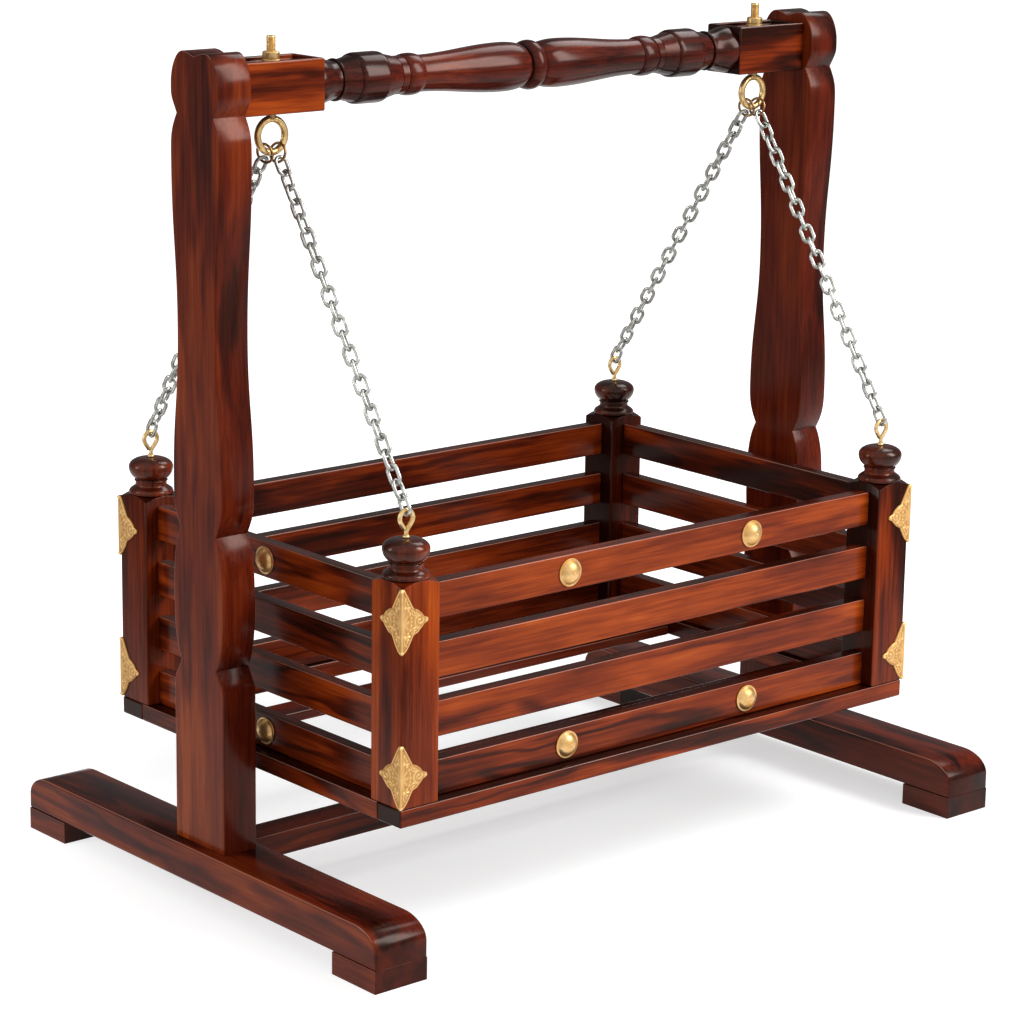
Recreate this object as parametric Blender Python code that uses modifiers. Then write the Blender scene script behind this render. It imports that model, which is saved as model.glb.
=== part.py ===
"""Hanging cradle: a slatted wooden box on four chains under a turned rail, on a stand of two sawn posts.

Metres, +Z up. X runs along the cradle, the front is -Y, and the origin is on the floor under the middle.
Left is -X. The box swings front to back about the two eye bolts and can sway a little along X.
"""
import math

import bmesh
import bpy
from mathutils import Matrix, Vector

# Fits
SEAT_GAP = 0.0003            # between pieces that bear on each other
LINK_PLAY = 0.0010           # slack left where a chain turns in a ring
RING_PLAY = 0.0022           # slack of a jump ring on the curved wire of its eye
EDGE_ROUND = 0.0015          # eased edges of the sawn pieces

# Feet and stretcher
FOOT_LENGTH = 0.660
FOOT_WIDTH = 0.070
FOOT_HEIGHT = 0.042
FOOT_NOSE_LENGTH = 0.038
FOOT_NOSE_HEIGHT = 0.024
FOOT_BLOCK_LENGTH = 0.074
FOOT_BLOCK_HEIGHT = 0.026
STRETCHER_DEPTH = 0.040
STRETCHER_HEIGHT = 0.028

# Posts: the lower heights of their outline are measured up from the foot, the drops down from the top
POST_END_GAP = 0.031         # between the box and each post, which lets the box sway
POST_THICKNESS = 0.044
POST_HEIGHT = 0.878
POST_NOTCH_DEPTH = 0.0045
POST_LOBE_OFFSET = 0.021
POST_HEAD_HALF = 0.0425
POST_HEAD_DROP = 0.035
POST_UPPER_WAIST_DROP = 0.0664
POST_SHOULDER_HALF = 0.0435
POST_SHOULDER_DROP = 0.113
POST_SLENDER_HALF = 0.0345
POST_SLENDER_DROP = 0.303
POST_SWELL_HALF = 0.0447
POST_SWELL_LEVEL = 0.412
POST_MIDDLE_WAIST_LEVEL = 0.3588
POST_BARREL_HALF = 0.0455
POST_LOWER_WAIST_LEVEL = 0.2086
POST_PLINTH_HALF = 0.0455
POST_PLINTH_HEIGHT = 0.176
POST_WAIST_HALF = 0.0325
POST_FACET_RISE = 0.0270      # of the flat slopes that meet in a waist
POST_FACET_INSET = 0.0012     # at which a slope stops short of the swell

# Top rail, turned from square stock between two square blocks
RAIL_STOCK = 0.057
RAIL_AXIS_DROP = 0.0403      # below the tops of the posts
RAIL_BLOCK_LENGTH = 0.108
RAIL_CENTRE_BEAD_HALF = 0.0105
RAIL_BEAD_RADIUS = 0.0284
RAIL_VASE_RADIUS = 0.0280
RAIL_VASE_NECK_RADIUS = 0.0205
RAIL_VASE_RISE = 0.030
RAIL_RING_LENGTH = 0.023
RAIL_RING_RADIUS = 0.0235
RAIL_NECK_LENGTH = 0.0085
RAIL_GROOVE_RADIUS = 0.0213
RAIL_CONE_LENGTH = 0.0190
RAIL_CONE_RADIUS = 0.0256
RAIL_ROUND_LENGTH = 0.0075
RAIL_BARREL_LENGTH = 0.0255
RAIL_BARREL_RADIUS = 0.0283
RAIL_OUTER_RING_LENGTH = 0.004
RAIL_OUTER_RING_RADIUS = 0.0235
RAIL_FLARE_LENGTH = 0.030
RAIL_FLARE_RADIUS = 0.0275
RAIL_POCKET_DEPTH = 0.006
RAIL_POCKET_RIM = 0.006

# Eye bolts, nuts and jump rings
BOLT_RADIUS = 0.0050
BOLT_RISE = 0.024            # above the top of the rail block
EYE_RADIUS = 0.0181          # to the middle of the wire
EYE_WIRE_RADIUS = 0.0039
EYE_DROP = 0.0262            # middle of the eye under the rail block
NUT_FLANGE_RADIUS = 0.0100
NUT_FLANGE_HEIGHT = 0.0050
NUT_RADIUS = 0.0094
NUT_HEIGHT = 0.0130
JUMP_RING_RADIUS = 0.0104
JUMP_RING_WIRE_RADIUS = 0.00165
JUMP_RING_OFFSET = 0.0075    # from the bolt's axis, one ring on each side
JUMP_RING_TURN = math.radians(17)

# Chains and screw eyes
LINK_COUNT = 24
LINK_WIRE_RADIUS = 0.0022
LINK_HALF_WIDTH = 0.0065     # to the middle of the wire
LINK_BITE = 0.0003           # depth to which bearing links are fused
SCREW_EYE_RADIUS = 0.0088
SCREW_EYE_WIRE_RADIUS = 0.0025
SCREW_EYE_RISE = 0.0215      # middle of the eye above the finial
SCREW_EYE_COLLAR_RADIUS = 0.0040
SCREW_EYE_COLLAR_HEIGHT = 0.0030
SCREW_EYE_DEPTH = 0.0150

# Cradle box
BOX_LENGTH = 0.778
BOX_WIDTH = 0.522
BOX_LEVEL = 0.1435           # underside above the floor
BASE_RAIL_WIDTH = 0.040
BASE_RAIL_HEIGHT = 0.020
CORNER_POST_SIDE = 0.052
CORNER_POST_HEIGHT = 0.2487  # of the square part
POMMEL_DROP = 0.004          # fall of the turned shoulder from the finial to the post's edges
SLAT_HEIGHT = 0.0405
SLAT_PITCH = 0.066
SLAT_SETBACK = 0.016
LONG_SLAT_THICKNESS = 0.018
END_SLAT_THICKNESS = 0.016
SLAT_ROWS = 4
BATTEN_WIDTH = 0.040
BATTEN_THICKNESS = 0.012
BATTEN_OFFSET = 0.125        # of each batten's middle from the box's middle

# Turned finial on each corner post
FINIAL_FOOT_RADIUS = 0.0257
FINIAL_FOOT_HEIGHT = 0.0030
FINIAL_OGEE_HEIGHT = 0.0075
FINIAL_NECK_RADIUS = 0.0180
FINIAL_NECK_HEIGHT = 0.0035
FINIAL_FILLET_RADIUS = 0.0193
FINIAL_FILLET_HEIGHT = 0.0020
FINIAL_GROOVE_HEIGHT = 0.0010
FINIAL_BULB_RADIUS = 0.0257
FINIAL_TAPER_HEIGHT = 0.0170
FINIAL_CROWN_HEIGHT = 0.0075
FINIAL_TOP_RADIUS = 0.0085

# Brass corner plates
PLATE_THICKNESS = 0.0010
PLATE_HALF_WIDTH = 0.0355    # on each face of the post
PLATE_RISE = 0.0370          # side tips to the top tip
PLATE_FALL = 0.0345          # side tips to the bottom tip
PLATE_EDGE_MARGIN = 0.0010   # from the top of the square, and from the base rail

# Facet counts
TURNED_STEPS = 16
RING_STEPS = 18
WIRE_STEPS = 8
CURVE_STEPS = 5
LINK_ARC_STEPS = 3

# Finishes: colour, roughness, metallic
DARK_WOOD = ((0.105, 0.022, 0.010), 0.28, 0.0)
RED_WOOD = ((0.190, 0.042, 0.013), 0.28, 0.0)
BRASS = ((0.690, 0.420, 0.110), 0.32, 1.0)
GILT = ((0.760, 0.470, 0.140), 0.38, 1.0)
BRONZE = ((0.280, 0.180, 0.100), 0.40, 1.0)
ZINC = ((0.480, 0.480, 0.460), 0.35, 1.0)

# Places that follow from the sizes
FOOT_TOP = FOOT_BLOCK_HEIGHT + FOOT_HEIGHT
POST_BASE = FOOT_TOP + SEAT_GAP
POST_INNER_X = BOX_LENGTH / 2 + POST_END_GAP
POST_X = POST_INNER_X + POST_THICKNESS / 2
RAIL_HALF_LENGTH = POST_INNER_X - SEAT_GAP
RAIL_TURNED_HALF = RAIL_HALF_LENGTH - RAIL_BLOCK_LENGTH
RAIL_AXIS_LEVEL = POST_BASE + POST_HEIGHT - RAIL_AXIS_DROP
RAIL_BOTTOM = RAIL_AXIS_LEVEL - RAIL_STOCK / 2
RAIL_TOP = RAIL_AXIS_LEVEL + RAIL_STOCK / 2
BOX_HALF_X = BOX_LENGTH / 2
BOX_HALF_Y = BOX_WIDTH / 2
CORNER_X = BOX_HALF_X - CORNER_POST_SIDE / 2
CORNER_Y = BOX_HALF_Y - CORNER_POST_SIDE / 2
BASE_TOP = BOX_LEVEL + BASE_RAIL_HEIGHT
CORNER_BASE = BASE_TOP + SEAT_GAP
SQUARE_TOP = CORNER_BASE + CORNER_POST_HEIGHT
FINIAL_HEIGHT = (FINIAL_FOOT_HEIGHT + FINIAL_OGEE_HEIGHT + FINIAL_NECK_HEIGHT + FINIAL_FILLET_HEIGHT
                 + FINIAL_GROOVE_HEIGHT + FINIAL_TAPER_HEIGHT + FINIAL_CROWN_HEIGHT)
FINIAL_TOP = SQUARE_TOP + FINIAL_HEIGHT
HANG_X = CORNER_X
EYE_LEVEL = RAIL_BOTTOM - EYE_DROP
SWING_LEVEL = EYE_LEVEL - math.sqrt(EYE_RADIUS ** 2 - JUMP_RING_OFFSET ** 2)
SCREW_EYE_LEVEL = FINIAL_TOP + SCREW_EYE_RISE
SIDES = {"left": -1, "right": 1}
FACES = {"front": -1, "back": 1}


def clear_scene():
    """Empty the scene and make the two collections."""
    for old in list(bpy.data.objects):
        bpy.data.objects.remove(old, do_unlink=True)
    collections = []
    for name in ("hanging_cradle", "cutters"):
        collection = bpy.data.collections.new(name)
        bpy.context.scene.collection.children.link(collection)
        collections.append(collection)
    return collections


PARTS, CUTTERS = clear_scene()


def make_empty(name, place):
    """An empty on a joint's axis, which carries the pieces that move together."""
    empty = bpy.data.objects.new(name, None)
    empty.location = place
    empty.empty_display_size = 0.05
    PARTS.objects.link(empty)
    return empty


def make_object(name, mesh, collection):
    thing = bpy.data.objects.new(name, mesh)
    collection.objects.link(thing)
    return thing


def finish_piece(thing, finish, parent):
    """Give a finished piece its material and hang it on its carrier."""
    colour, roughness, metallic = finish
    material = bpy.data.materials.new(thing.name)
    material.use_nodes = True
    shader = material.node_tree.nodes["Principled BSDF"]
    shader.inputs["Base Color"].default_value = (*colour, 1.0)
    shader.inputs["Roughness"].default_value = roughness
    shader.inputs["Metallic"].default_value = metallic
    material.diffuse_color = (*colour, 1.0)
    thing.data.materials.clear()
    thing.data.materials.append(material)
    thing.parent = parent
    thing.matrix_parent_inverse = Matrix.Translation(-parent.location)


def smooth(mesh):
    mesh.shade_smooth()
    mesh.set_sharp_from_angle(angle=math.radians(40))


def cube_mesh(name, low, high):
    """A box from corner to corner, with its vertices at world places."""
    mesh = bpy.data.meshes.new(name)
    size = Vector(high) - Vector(low)
    middle = (Vector(high) + Vector(low)) / 2
    shape = bmesh.new()
    bmesh.ops.create_cube(shape, size=1.0, matrix=Matrix.Translation(middle) @ Matrix.Diagonal((*size, 1.0)))
    shape.to_mesh(mesh)
    shape.free()
    return mesh


def board(name, low, high, finish, parent):
    """A sawn piece with eased edges."""
    piece = make_object(name, cube_mesh(name, low, high), PARTS)
    bevel = piece.modifiers.new("eased edges", "BEVEL")
    bevel.width = EDGE_ROUND
    bevel.segments = 1
    finish_piece(piece, finish, parent)


def cutter(name, mesh):
    tool = make_object(name, mesh, CUTTERS)
    tool.hide_render = True
    tool.display_type = "WIRE"
    return tool


def cut(piece, tool, operation):
    boolean = piece.modifiers.new(tool.name, "BOOLEAN")
    boolean.operation = operation
    boolean.solver = "EXACT"
    boolean.object = tool


def bake(thing):
    """The evaluated mesh of an object in world places; the object itself is removed."""
    depsgraph = bpy.context.evaluated_depsgraph_get()
    mesh = bpy.data.meshes.new_from_object(thing.evaluated_get(depsgraph))
    mesh.transform(thing.matrix_world)
    mesh.name = thing.name
    bpy.data.objects.remove(thing, do_unlink=True)
    shape = bmesh.new()
    shape.from_mesh(mesh)
    bmesh.ops.remove_doubles(shape, verts=shape.verts, dist=1e-6)
    bmesh.ops.recalc_face_normals(shape, faces=shape.faces)
    shape.to_mesh(mesh)
    shape.free()
    return mesh


def outline_plate(name, points, thickness, middle_x):
    """A plank sawn to a Bezier outline in the YZ plane; points are (place, handle before, handle after)."""
    curve = bpy.data.curves.new(name, "CURVE")
    curve.dimensions = "2D"
    curve.fill_mode = "BOTH"
    curve.extrude = thickness / 2
    curve.resolution_u = CURVE_STEPS
    spline = curve.splines.new("BEZIER")
    spline.bezier_points.add(len(points) - 1)
    spline.use_cyclic_u = True
    for knot, (place, before, after) in zip(spline.bezier_points, points):
        knot.handle_left_type = "FREE"
        knot.handle_right_type = "FREE"
        knot.co = (*place, 0.0)
        knot.handle_left = (*before, 0.0)
        knot.handle_right = (*after, 0.0)
    thing = make_object(name, curve, PARTS)
    thing.rotation_euler = (math.pi / 2, 0.0, math.pi / 2)
    thing.location.x = middle_x
    bpy.context.view_layer.update()
    return bake(thing)


def turned(name, profile, steps):
    """A solid turned about Z; profile runs from the top to the bottom as (radius, height)."""
    mesh = bpy.data.meshes.new(name)
    mesh.from_pydata([(r, 0.0, z) for r, z in profile], [(i, i + 1) for i in range(len(profile) - 1)], [])
    thing = make_object(name, mesh, CUTTERS)
    screw = thing.modifiers.new("turned", "SCREW")
    screw.axis = "Z"
    screw.steps = steps
    screw.render_steps = steps
    screw.use_merge_vertices = True
    screw.merge_threshold = 1e-5
    return thing


def bead(length, edge_radius, peak_radius, steps=4):
    """A half round on a turned piece, as (distance along, radius) pairs from its start."""
    points = []
    for i in range(steps + 1):
        angle = math.pi * i / steps
        along = length * (1 - math.cos(angle)) / 2
        points.append((along, edge_radius + (peak_radius - edge_radius) * math.sin(angle)))
    return points


def sweep(length, first_radius, last_radius, steps=5):
    """An easy curve from one radius to another, level at both ends."""
    points = []
    for i in range(steps + 1):
        share = (1 - math.cos(math.pi * i / steps)) / 2
        points.append((length * i / steps, first_radius + (last_radius - first_radius) * share))
    return points


def quarter_round(length, first_radius, last_radius, steps):
    """A rounded shoulder on a turning, steep at the start and level at the end."""
    points = []
    for i in range(steps + 1):
        angle = math.pi / 2 * i / steps
        rise = (last_radius - first_radius) * math.sin(angle)
        points.append((length * (1 - math.cos(angle)), first_radius + rise))
    return points


def chain_sections(start, sections):
    """Join turned sections end to end; a section's first point is left out where it repeats the last one."""
    points = []
    for section in sections:
        for along, radius in section:
            point = (start + along, radius)
            if not points or math.dist(point, points[-1]) > 1e-5:
                points.append(point)
        start = points[-1][0]
    return points


def torus_mesh(name, radius, wire_radius, steps, matrix):
    """A closed wire ring whose hole runs along the matrix's Z."""
    bpy.ops.mesh.primitive_torus_add(
        major_radius=radius, minor_radius=wire_radius, major_segments=steps, minor_segments=WIRE_STEPS)
    ring = bpy.context.active_object
    mesh = ring.data
    mesh.name = name
    bpy.data.objects.remove(ring, do_unlink=True)
    mesh.transform(matrix)
    return mesh


def rod_mesh(name, radius, low, high, steps=12):
    """An upright rod between two places on one vertical line."""
    mesh = bpy.data.meshes.new(name)
    shape = bmesh.new()
    middle = (Vector(low) + Vector(high)) / 2
    bmesh.ops.create_cone(
        shape, cap_ends=True, segments=steps, radius1=radius, radius2=radius, depth=high[2] - low[2],
        matrix=Matrix.Translation(middle))
    shape.to_mesh(mesh)
    shape.free()
    return mesh


def post_outline():
    """The post's sawn outline, right side from the foot to the notch and back down the left side."""
    swells = [
        (POST_PLINTH_HALF, POST_PLINTH_HEIGHT),
        (POST_BARREL_HALF, (POST_LOWER_WAIST_LEVEL + POST_MIDDLE_WAIST_LEVEL) / 2),
        (POST_SWELL_HALF, POST_SWELL_LEVEL),
        (POST_SLENDER_HALF, POST_HEIGHT - POST_SLENDER_DROP),
        (POST_SHOULDER_HALF, POST_HEIGHT - POST_SHOULDER_DROP),
        (POST_HEAD_HALF, POST_HEIGHT - POST_HEAD_DROP)]
    waists = [
        (POST_WAIST_HALF, POST_LOWER_WAIST_LEVEL),
        (POST_WAIST_HALF, POST_MIDDLE_WAIST_LEVEL),
        (POST_WAIST_HALF, POST_HEIGHT - POST_UPPER_WAIST_DROP)]
    slopes = [
        (POST_PLINTH_HALF, POST_LOWER_WAIST_LEVEL - POST_FACET_RISE),
        (POST_BARREL_HALF, POST_LOWER_WAIST_LEVEL + POST_FACET_RISE),
        (POST_BARREL_HALF, POST_MIDDLE_WAIST_LEVEL - POST_FACET_RISE),
        (POST_SWELL_HALF, POST_MIDDLE_WAIST_LEVEL + POST_FACET_RISE),
        (POST_SHOULDER_HALF, POST_HEIGHT - POST_UPPER_WAIST_DROP - POST_FACET_RISE)]
    slopes = [(half - POST_FACET_INSET, level) for half, level in slopes]
    crown = [(POST_LOBE_OFFSET, POST_HEIGHT), (0.0, POST_HEIGHT - POST_NOTCH_DEPTH)]
    side = [(POST_PLINTH_HALF, 0.0)] + sorted(swells + waists + slopes, key=lambda point: point[1]) + crown
    right = []
    for i, (half, level) in enumerate(side):
        below = side[max(i - 1, 0)]
        above = side[min(i + 1, len(side) - 1)]
        if (half, level) in swells:
            before = (half, level - 0.45 * (level - below[1]))
            after = (half, level + 0.45 * (above[1] - level))
        elif (half, level) == crown[0]:
            before = (half + 0.55 * (below[0] - half), level)
            after = (half / 2, level)
        else:
            before = (half + (below[0] - half) / 3, level + (below[1] - level) / 3)
            after = (half + (above[0] - half) / 3, level + (above[1] - level) / 3)
        right.append(((half, level), before, after))
    left = []
    for place, before, after in reversed(right[:-1]):
        left.append(((-place[0], place[1]), (-after[0], after[1]), (-before[0], before[1])))
    notch, before, after = right[-1]
    points = right[:-1] + [(notch, before, (-before[0], before[1]))] + left
    first = points[0][0]
    last = points[-1][0]
    points[0] = (first, ((first[0] * 2 + last[0]) / 3, first[1]), points[0][2])
    points[-1] = (last, points[-1][1], ((last[0] * 2 + first[0]) / 3, last[1]))
    return [tuple((y, z + POST_BASE) for y, z in point) for point in points]


def foot_outline():
    """The foot's side view: a bar whose upper ends are rounded to the floor end of each nose."""
    half = FOOT_LENGTH / 2
    low = FOOT_BLOCK_HEIGHT
    high = FOOT_TOP
    round_y = 0.55 * FOOT_NOSE_LENGTH
    round_z = 0.55 * FOOT_NOSE_HEIGHT
    nose_y = half - FOOT_NOSE_LENGTH
    nose_z = high - FOOT_NOSE_HEIGHT
    right = [
        ((half, low), (half / 3, low), (half, (2 * low + nose_z) / 3)),
        ((half, nose_z), (half, (low + 2 * nose_z) / 3), (half, nose_z + round_z)),
        ((nose_y, high), (nose_y + round_y, high), (nose_y / 3, high))]
    left = []
    for place, before, after in reversed(right):
        left.append(((-place[0], place[1]), (-after[0], after[1]), (-before[0], before[1])))
    return right + left


def make_stand(stand):
    """Feet, blocks, stretcher and posts."""
    half = FOOT_LENGTH / 2
    for side, sign in SIDES.items():
        middle = sign * POST_X
        post = make_object(f"post_{side}", outline_plate("post", post_outline(), POST_THICKNESS, middle), PARTS)
        finish_piece(post, DARK_WOOD, stand)
        foot = make_object(f"foot_{side}", outline_plate("foot", foot_outline(), FOOT_WIDTH, middle), PARTS)
        finish_piece(foot, DARK_WOOD, stand)
        for face, way in FACES.items():
            ends = sorted((way * half, way * (half - FOOT_BLOCK_LENGTH)))
            low = (middle - FOOT_WIDTH / 2, ends[0], 0.0)
            high = (middle + FOOT_WIDTH / 2, ends[1], FOOT_BLOCK_HEIGHT - SEAT_GAP)
            board(f"foot_block_{side}_{face}", low, high, DARK_WOOD, stand)
    reach = POST_X - FOOT_WIDTH / 2 - SEAT_GAP
    low = (-reach, -STRETCHER_DEPTH / 2, FOOT_TOP - STRETCHER_HEIGHT)
    high = (reach, STRETCHER_DEPTH / 2, FOOT_TOP)
    board("stretcher", low, high, DARK_WOOD, stand)


def rail_profile():
    """Half of the turned rail, from its middle bead out to the square block."""
    fixed = (RAIL_CENTRE_BEAD_HALF + RAIL_RING_LENGTH + RAIL_NECK_LENGTH + 2 * RAIL_CONE_LENGTH
             + 2 * RAIL_ROUND_LENGTH + RAIL_BARREL_LENGTH + RAIL_OUTER_RING_LENGTH + RAIL_FLARE_LENGTH)
    vase_fall = RAIL_TURNED_HALF - fixed - RAIL_VASE_RISE
    whole_bead = bead(2 * RAIL_CENTRE_BEAD_HALF, RAIL_GROOVE_RADIUS, RAIL_BEAD_RADIUS)
    rounding = quarter_round(RAIL_ROUND_LENGTH, RAIL_CONE_RADIUS, RAIL_BARREL_RADIUS, 3)
    falling = [(RAIL_ROUND_LENGTH - x, r) for x, r in reversed(rounding)]
    middle_bead = [(x - RAIL_CENTRE_BEAD_HALF, r) for x, r in whole_bead if x >= RAIL_CENTRE_BEAD_HALF - 1e-6]
    sections = [
        middle_bead,
        quarter_round(RAIL_VASE_RISE, RAIL_GROOVE_RADIUS, RAIL_VASE_RADIUS, 5),
        sweep(vase_fall, RAIL_VASE_RADIUS, RAIL_VASE_NECK_RADIUS),
        bead(RAIL_RING_LENGTH, RAIL_VASE_NECK_RADIUS, RAIL_RING_RADIUS),
        [(0.0, RAIL_GROOVE_RADIUS), (RAIL_NECK_LENGTH, RAIL_GROOVE_RADIUS)],
        [(0.0, RAIL_GROOVE_RADIUS), (RAIL_CONE_LENGTH, RAIL_CONE_RADIUS)],
        rounding,
        [(0.0, RAIL_BARREL_RADIUS), (RAIL_BARREL_LENGTH, RAIL_BARREL_RADIUS)],
        falling,
        [(0.0, RAIL_CONE_RADIUS), (RAIL_CONE_LENGTH, RAIL_GROOVE_RADIUS)],
        bead(RAIL_OUTER_RING_LENGTH, RAIL_GROOVE_RADIUS, RAIL_OUTER_RING_RADIUS, 2),
        sweep(RAIL_FLARE_LENGTH, RAIL_GROOVE_RADIUS, RAIL_FLARE_RADIUS, 4)]
    return chain_sections(0.0, sections)


def make_rail(stand):
    """Square stock with its middle turned, pockets sunk in the blocks' tops, and a hole for each bolt."""
    half = rail_profile()
    corner = RAIL_STOCK
    ends = [(corner, RAIL_TURNED_HALF), (corner, RAIL_HALF_LENGTH), (0.0, RAIL_HALF_LENGTH)]
    upper = [(r, x) for x, r in half] + ends
    lower = [(r, -x) for r, x in reversed(upper)]
    profile = list(reversed(upper)) + [point for point in reversed(lower) if point[1] < -1e-6]
    rail = turned("top_rail", profile, TURNED_STEPS)
    rail.matrix_world = Matrix.Translation((0.0, 0.0, RAIL_AXIS_LEVEL)) @ Matrix.Rotation(math.pi / 2, 4, "Y")
    side = RAIL_STOCK / 2
    reach = RAIL_HALF_LENGTH + EDGE_ROUND
    stock = cutter("rail_stock", cube_mesh("stock", (-reach, -side, RAIL_BOTTOM), (reach, side, RAIL_TOP)))
    cut(rail, stock, "INTERSECT")
    for name, sign in SIDES.items():
        inner = RAIL_TURNED_HALF + RAIL_POCKET_RIM
        outer = RAIL_HALF_LENGTH - RAIL_POCKET_RIM
        ends = sorted((sign * inner, sign * outer))
        rim = side - RAIL_POCKET_RIM
        pocket = cube_mesh(
            "pocket", (ends[0], -rim, RAIL_TOP - RAIL_POCKET_DEPTH),
            (ends[1], rim, RAIL_TOP + RAIL_POCKET_DEPTH))
        cut(rail, cutter(f"pocket_{name}", pocket), "DIFFERENCE")
        hole = rod_mesh(
            "hole", BOLT_RADIUS + SEAT_GAP, (sign * HANG_X, 0.0, RAIL_BOTTOM - RAIL_STOCK),
            (sign * HANG_X, 0.0, RAIL_TOP + RAIL_STOCK))
        cut(rail, cutter(f"bolt_hole_{name}", hole), "DIFFERENCE")
    bpy.context.view_layer.update()
    mesh = bake(rail)
    smooth(mesh)
    finish_piece(make_object("top_rail", mesh, PARTS), RED_WOOD, stand)


def fuse(first, second, name):
    """One closed body from two meshes that overlap."""
    thing = make_object(name, first, CUTTERS)
    other = cutter(f"{name}_other", second)
    cut(thing, other, "UNION")
    bpy.context.view_layer.update()
    mesh = bake(thing)
    smooth(mesh)
    return mesh


def make_bolts(stand):
    """Eye bolts through the rail blocks, and the flange nuts that hold them."""
    seat = RAIL_TOP - RAIL_POCKET_DEPTH + SEAT_GAP
    bore = BOLT_RADIUS + SEAT_GAP
    section = [
        (bore, seat + NUT_HEIGHT), (NUT_RADIUS, seat + NUT_HEIGHT), (NUT_RADIUS, seat + NUT_FLANGE_HEIGHT),
        (NUT_FLANGE_RADIUS, seat + NUT_FLANGE_HEIGHT), (NUT_FLANGE_RADIUS, seat), (bore, seat),
        (bore, seat + NUT_HEIGHT)]
    for side, sign in SIDES.items():
        x = sign * HANG_X
        upright = Matrix.Translation((x, 0.0, EYE_LEVEL)) @ Matrix.Rotation(math.pi / 2, 4, "X")
        eye = torus_mesh("eye", EYE_RADIUS, EYE_WIRE_RADIUS, RING_STEPS, upright)
        shank = rod_mesh("shank", BOLT_RADIUS, (x, 0.0, EYE_LEVEL + EYE_RADIUS), (x, 0.0, RAIL_TOP + BOLT_RISE))
        bolt = make_object(f"eye_bolt_{side}", fuse(eye, shank, "eye_bolt"), PARTS)
        finish_piece(bolt, BRASS, stand)
        nut = turned("nut", section, 12)
        nut.location.x = x
        bpy.context.view_layer.update()
        finish_piece(make_object(f"flange_nut_{side}", bake(nut), PARTS), BRASS, stand)


def chain_ends(side, face):
    """Where a chain hangs from its jump ring, and where it holds its screw eye."""
    x = SIDES[side] * HANG_X
    y = FACES[face] * CORNER_Y
    wire = Vector((x - FACES[face] * JUMP_RING_OFFSET, 0.0, SWING_LEVEL))
    eye_top = Vector((x, y, SCREW_EYE_LEVEL + SCREW_EYE_RADIUS))
    pull = (wire - eye_top).normalized()
    ring_drop = JUMP_RING_RADIUS - JUMP_RING_WIRE_RADIUS - EYE_WIRE_RADIUS - RING_PLAY
    link_drop = JUMP_RING_RADIUS - JUMP_RING_WIRE_RADIUS - LINK_WIRE_RADIUS - LINK_PLAY
    ring_middle = wire - pull * ring_drop
    top = ring_middle - pull * link_drop
    bottom = eye_top - pull * (SCREW_EYE_WIRE_RADIUS + LINK_WIRE_RADIUS + LINK_PLAY / 2)
    return ring_middle, top, bottom


def link_mesh(length, places, turn):
    """Oval links along +Z from their lower ends, all turned alike; their square wire bears on its edges."""
    half_turn = math.pi / LINK_ARC_STEPS / 2
    corner_reach = LINK_WIRE_RADIUS / math.cos(half_turn)
    side = Vector((0.0, LINK_WIRE_RADIUS, 0.0))
    shape = bmesh.new()
    for place in places:
        rings = []
        for end, middle in ((0, place + LINK_HALF_WIDTH), (1, place + length - LINK_HALF_WIDTH)):
            for i in range(LINK_ARC_STEPS + 1):
                angle = math.pi * (end + i / LINK_ARC_STEPS)
                out = Vector((-math.cos(angle), 0.0, -math.sin(angle)))
                wire = Vector((out.x, 0.0, out.z / math.cos(half_turn))) * LINK_HALF_WIDTH
                wire.z += middle
                around = (wire + out * corner_reach, wire + side, wire - out * corner_reach, wire - side)
                rings.append([shape.verts.new(corner) for corner in around])
        for ring, following in zip(rings, rings[1:] + rings[:1]):
            for i in range(4):
                shape.faces.new((ring[i], ring[(i + 1) % 4], following[(i + 1) % 4], following[i]))
    bmesh.ops.recalc_face_normals(shape, faces=shape.faces)
    mesh = bpy.data.meshes.new("links")
    shape.to_mesh(mesh)
    shape.free()
    mesh.transform(Matrix.Rotation(turn, 4, "Z"))
    return mesh


def chain_mesh(span):
    """A taut chain of the given length between the middles of its end wires, standing on its lower end."""
    bite = 2 * LINK_WIRE_RADIUS - LINK_BITE
    pitch = (span - bite) / LINK_COUNT
    length = pitch + bite
    places = [pitch * i for i in range(LINK_COUNT)]
    even = link_mesh(length, places[0::2], math.pi / 2)
    odd = link_mesh(length, places[1::2], 0.0)
    return fuse(even, odd, "chain")


def make_hangers(swing, chain_axes):
    """Jump rings on the eyes, and the four chains."""
    for side in SIDES:
        for face in FACES:
            ring_middle, top, bottom = chain_ends(side, face)
            turned_ring = Matrix.Rotation(JUMP_RING_TURN, 4, top - bottom)
            flat = Matrix.Translation(ring_middle) @ turned_ring @ Matrix.Rotation(math.pi / 2, 4, "Y")
            ring = torus_mesh("jump_ring", JUMP_RING_RADIUS, JUMP_RING_WIRE_RADIUS, RING_STEPS, flat)
            smooth(ring)
            finish_piece(make_object(f"jump_ring_{side}_{face}", ring, PARTS), BRONZE, swing)
            rise = top - bottom
            up = rise.normalized()
            across = Vector((1.0, 0.0, 0.0))
            across = (across - up * across.dot(up)).normalized()
            frame = Matrix((across, up.cross(across), up)).transposed().to_4x4()
            mesh = chain_mesh(rise.length)
            mesh.transform(Matrix.Translation(bottom) @ frame)
            finish_piece(make_object(f"chain_{side}_{face}", mesh, PARTS), ZINC, chain_axes[side])


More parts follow.
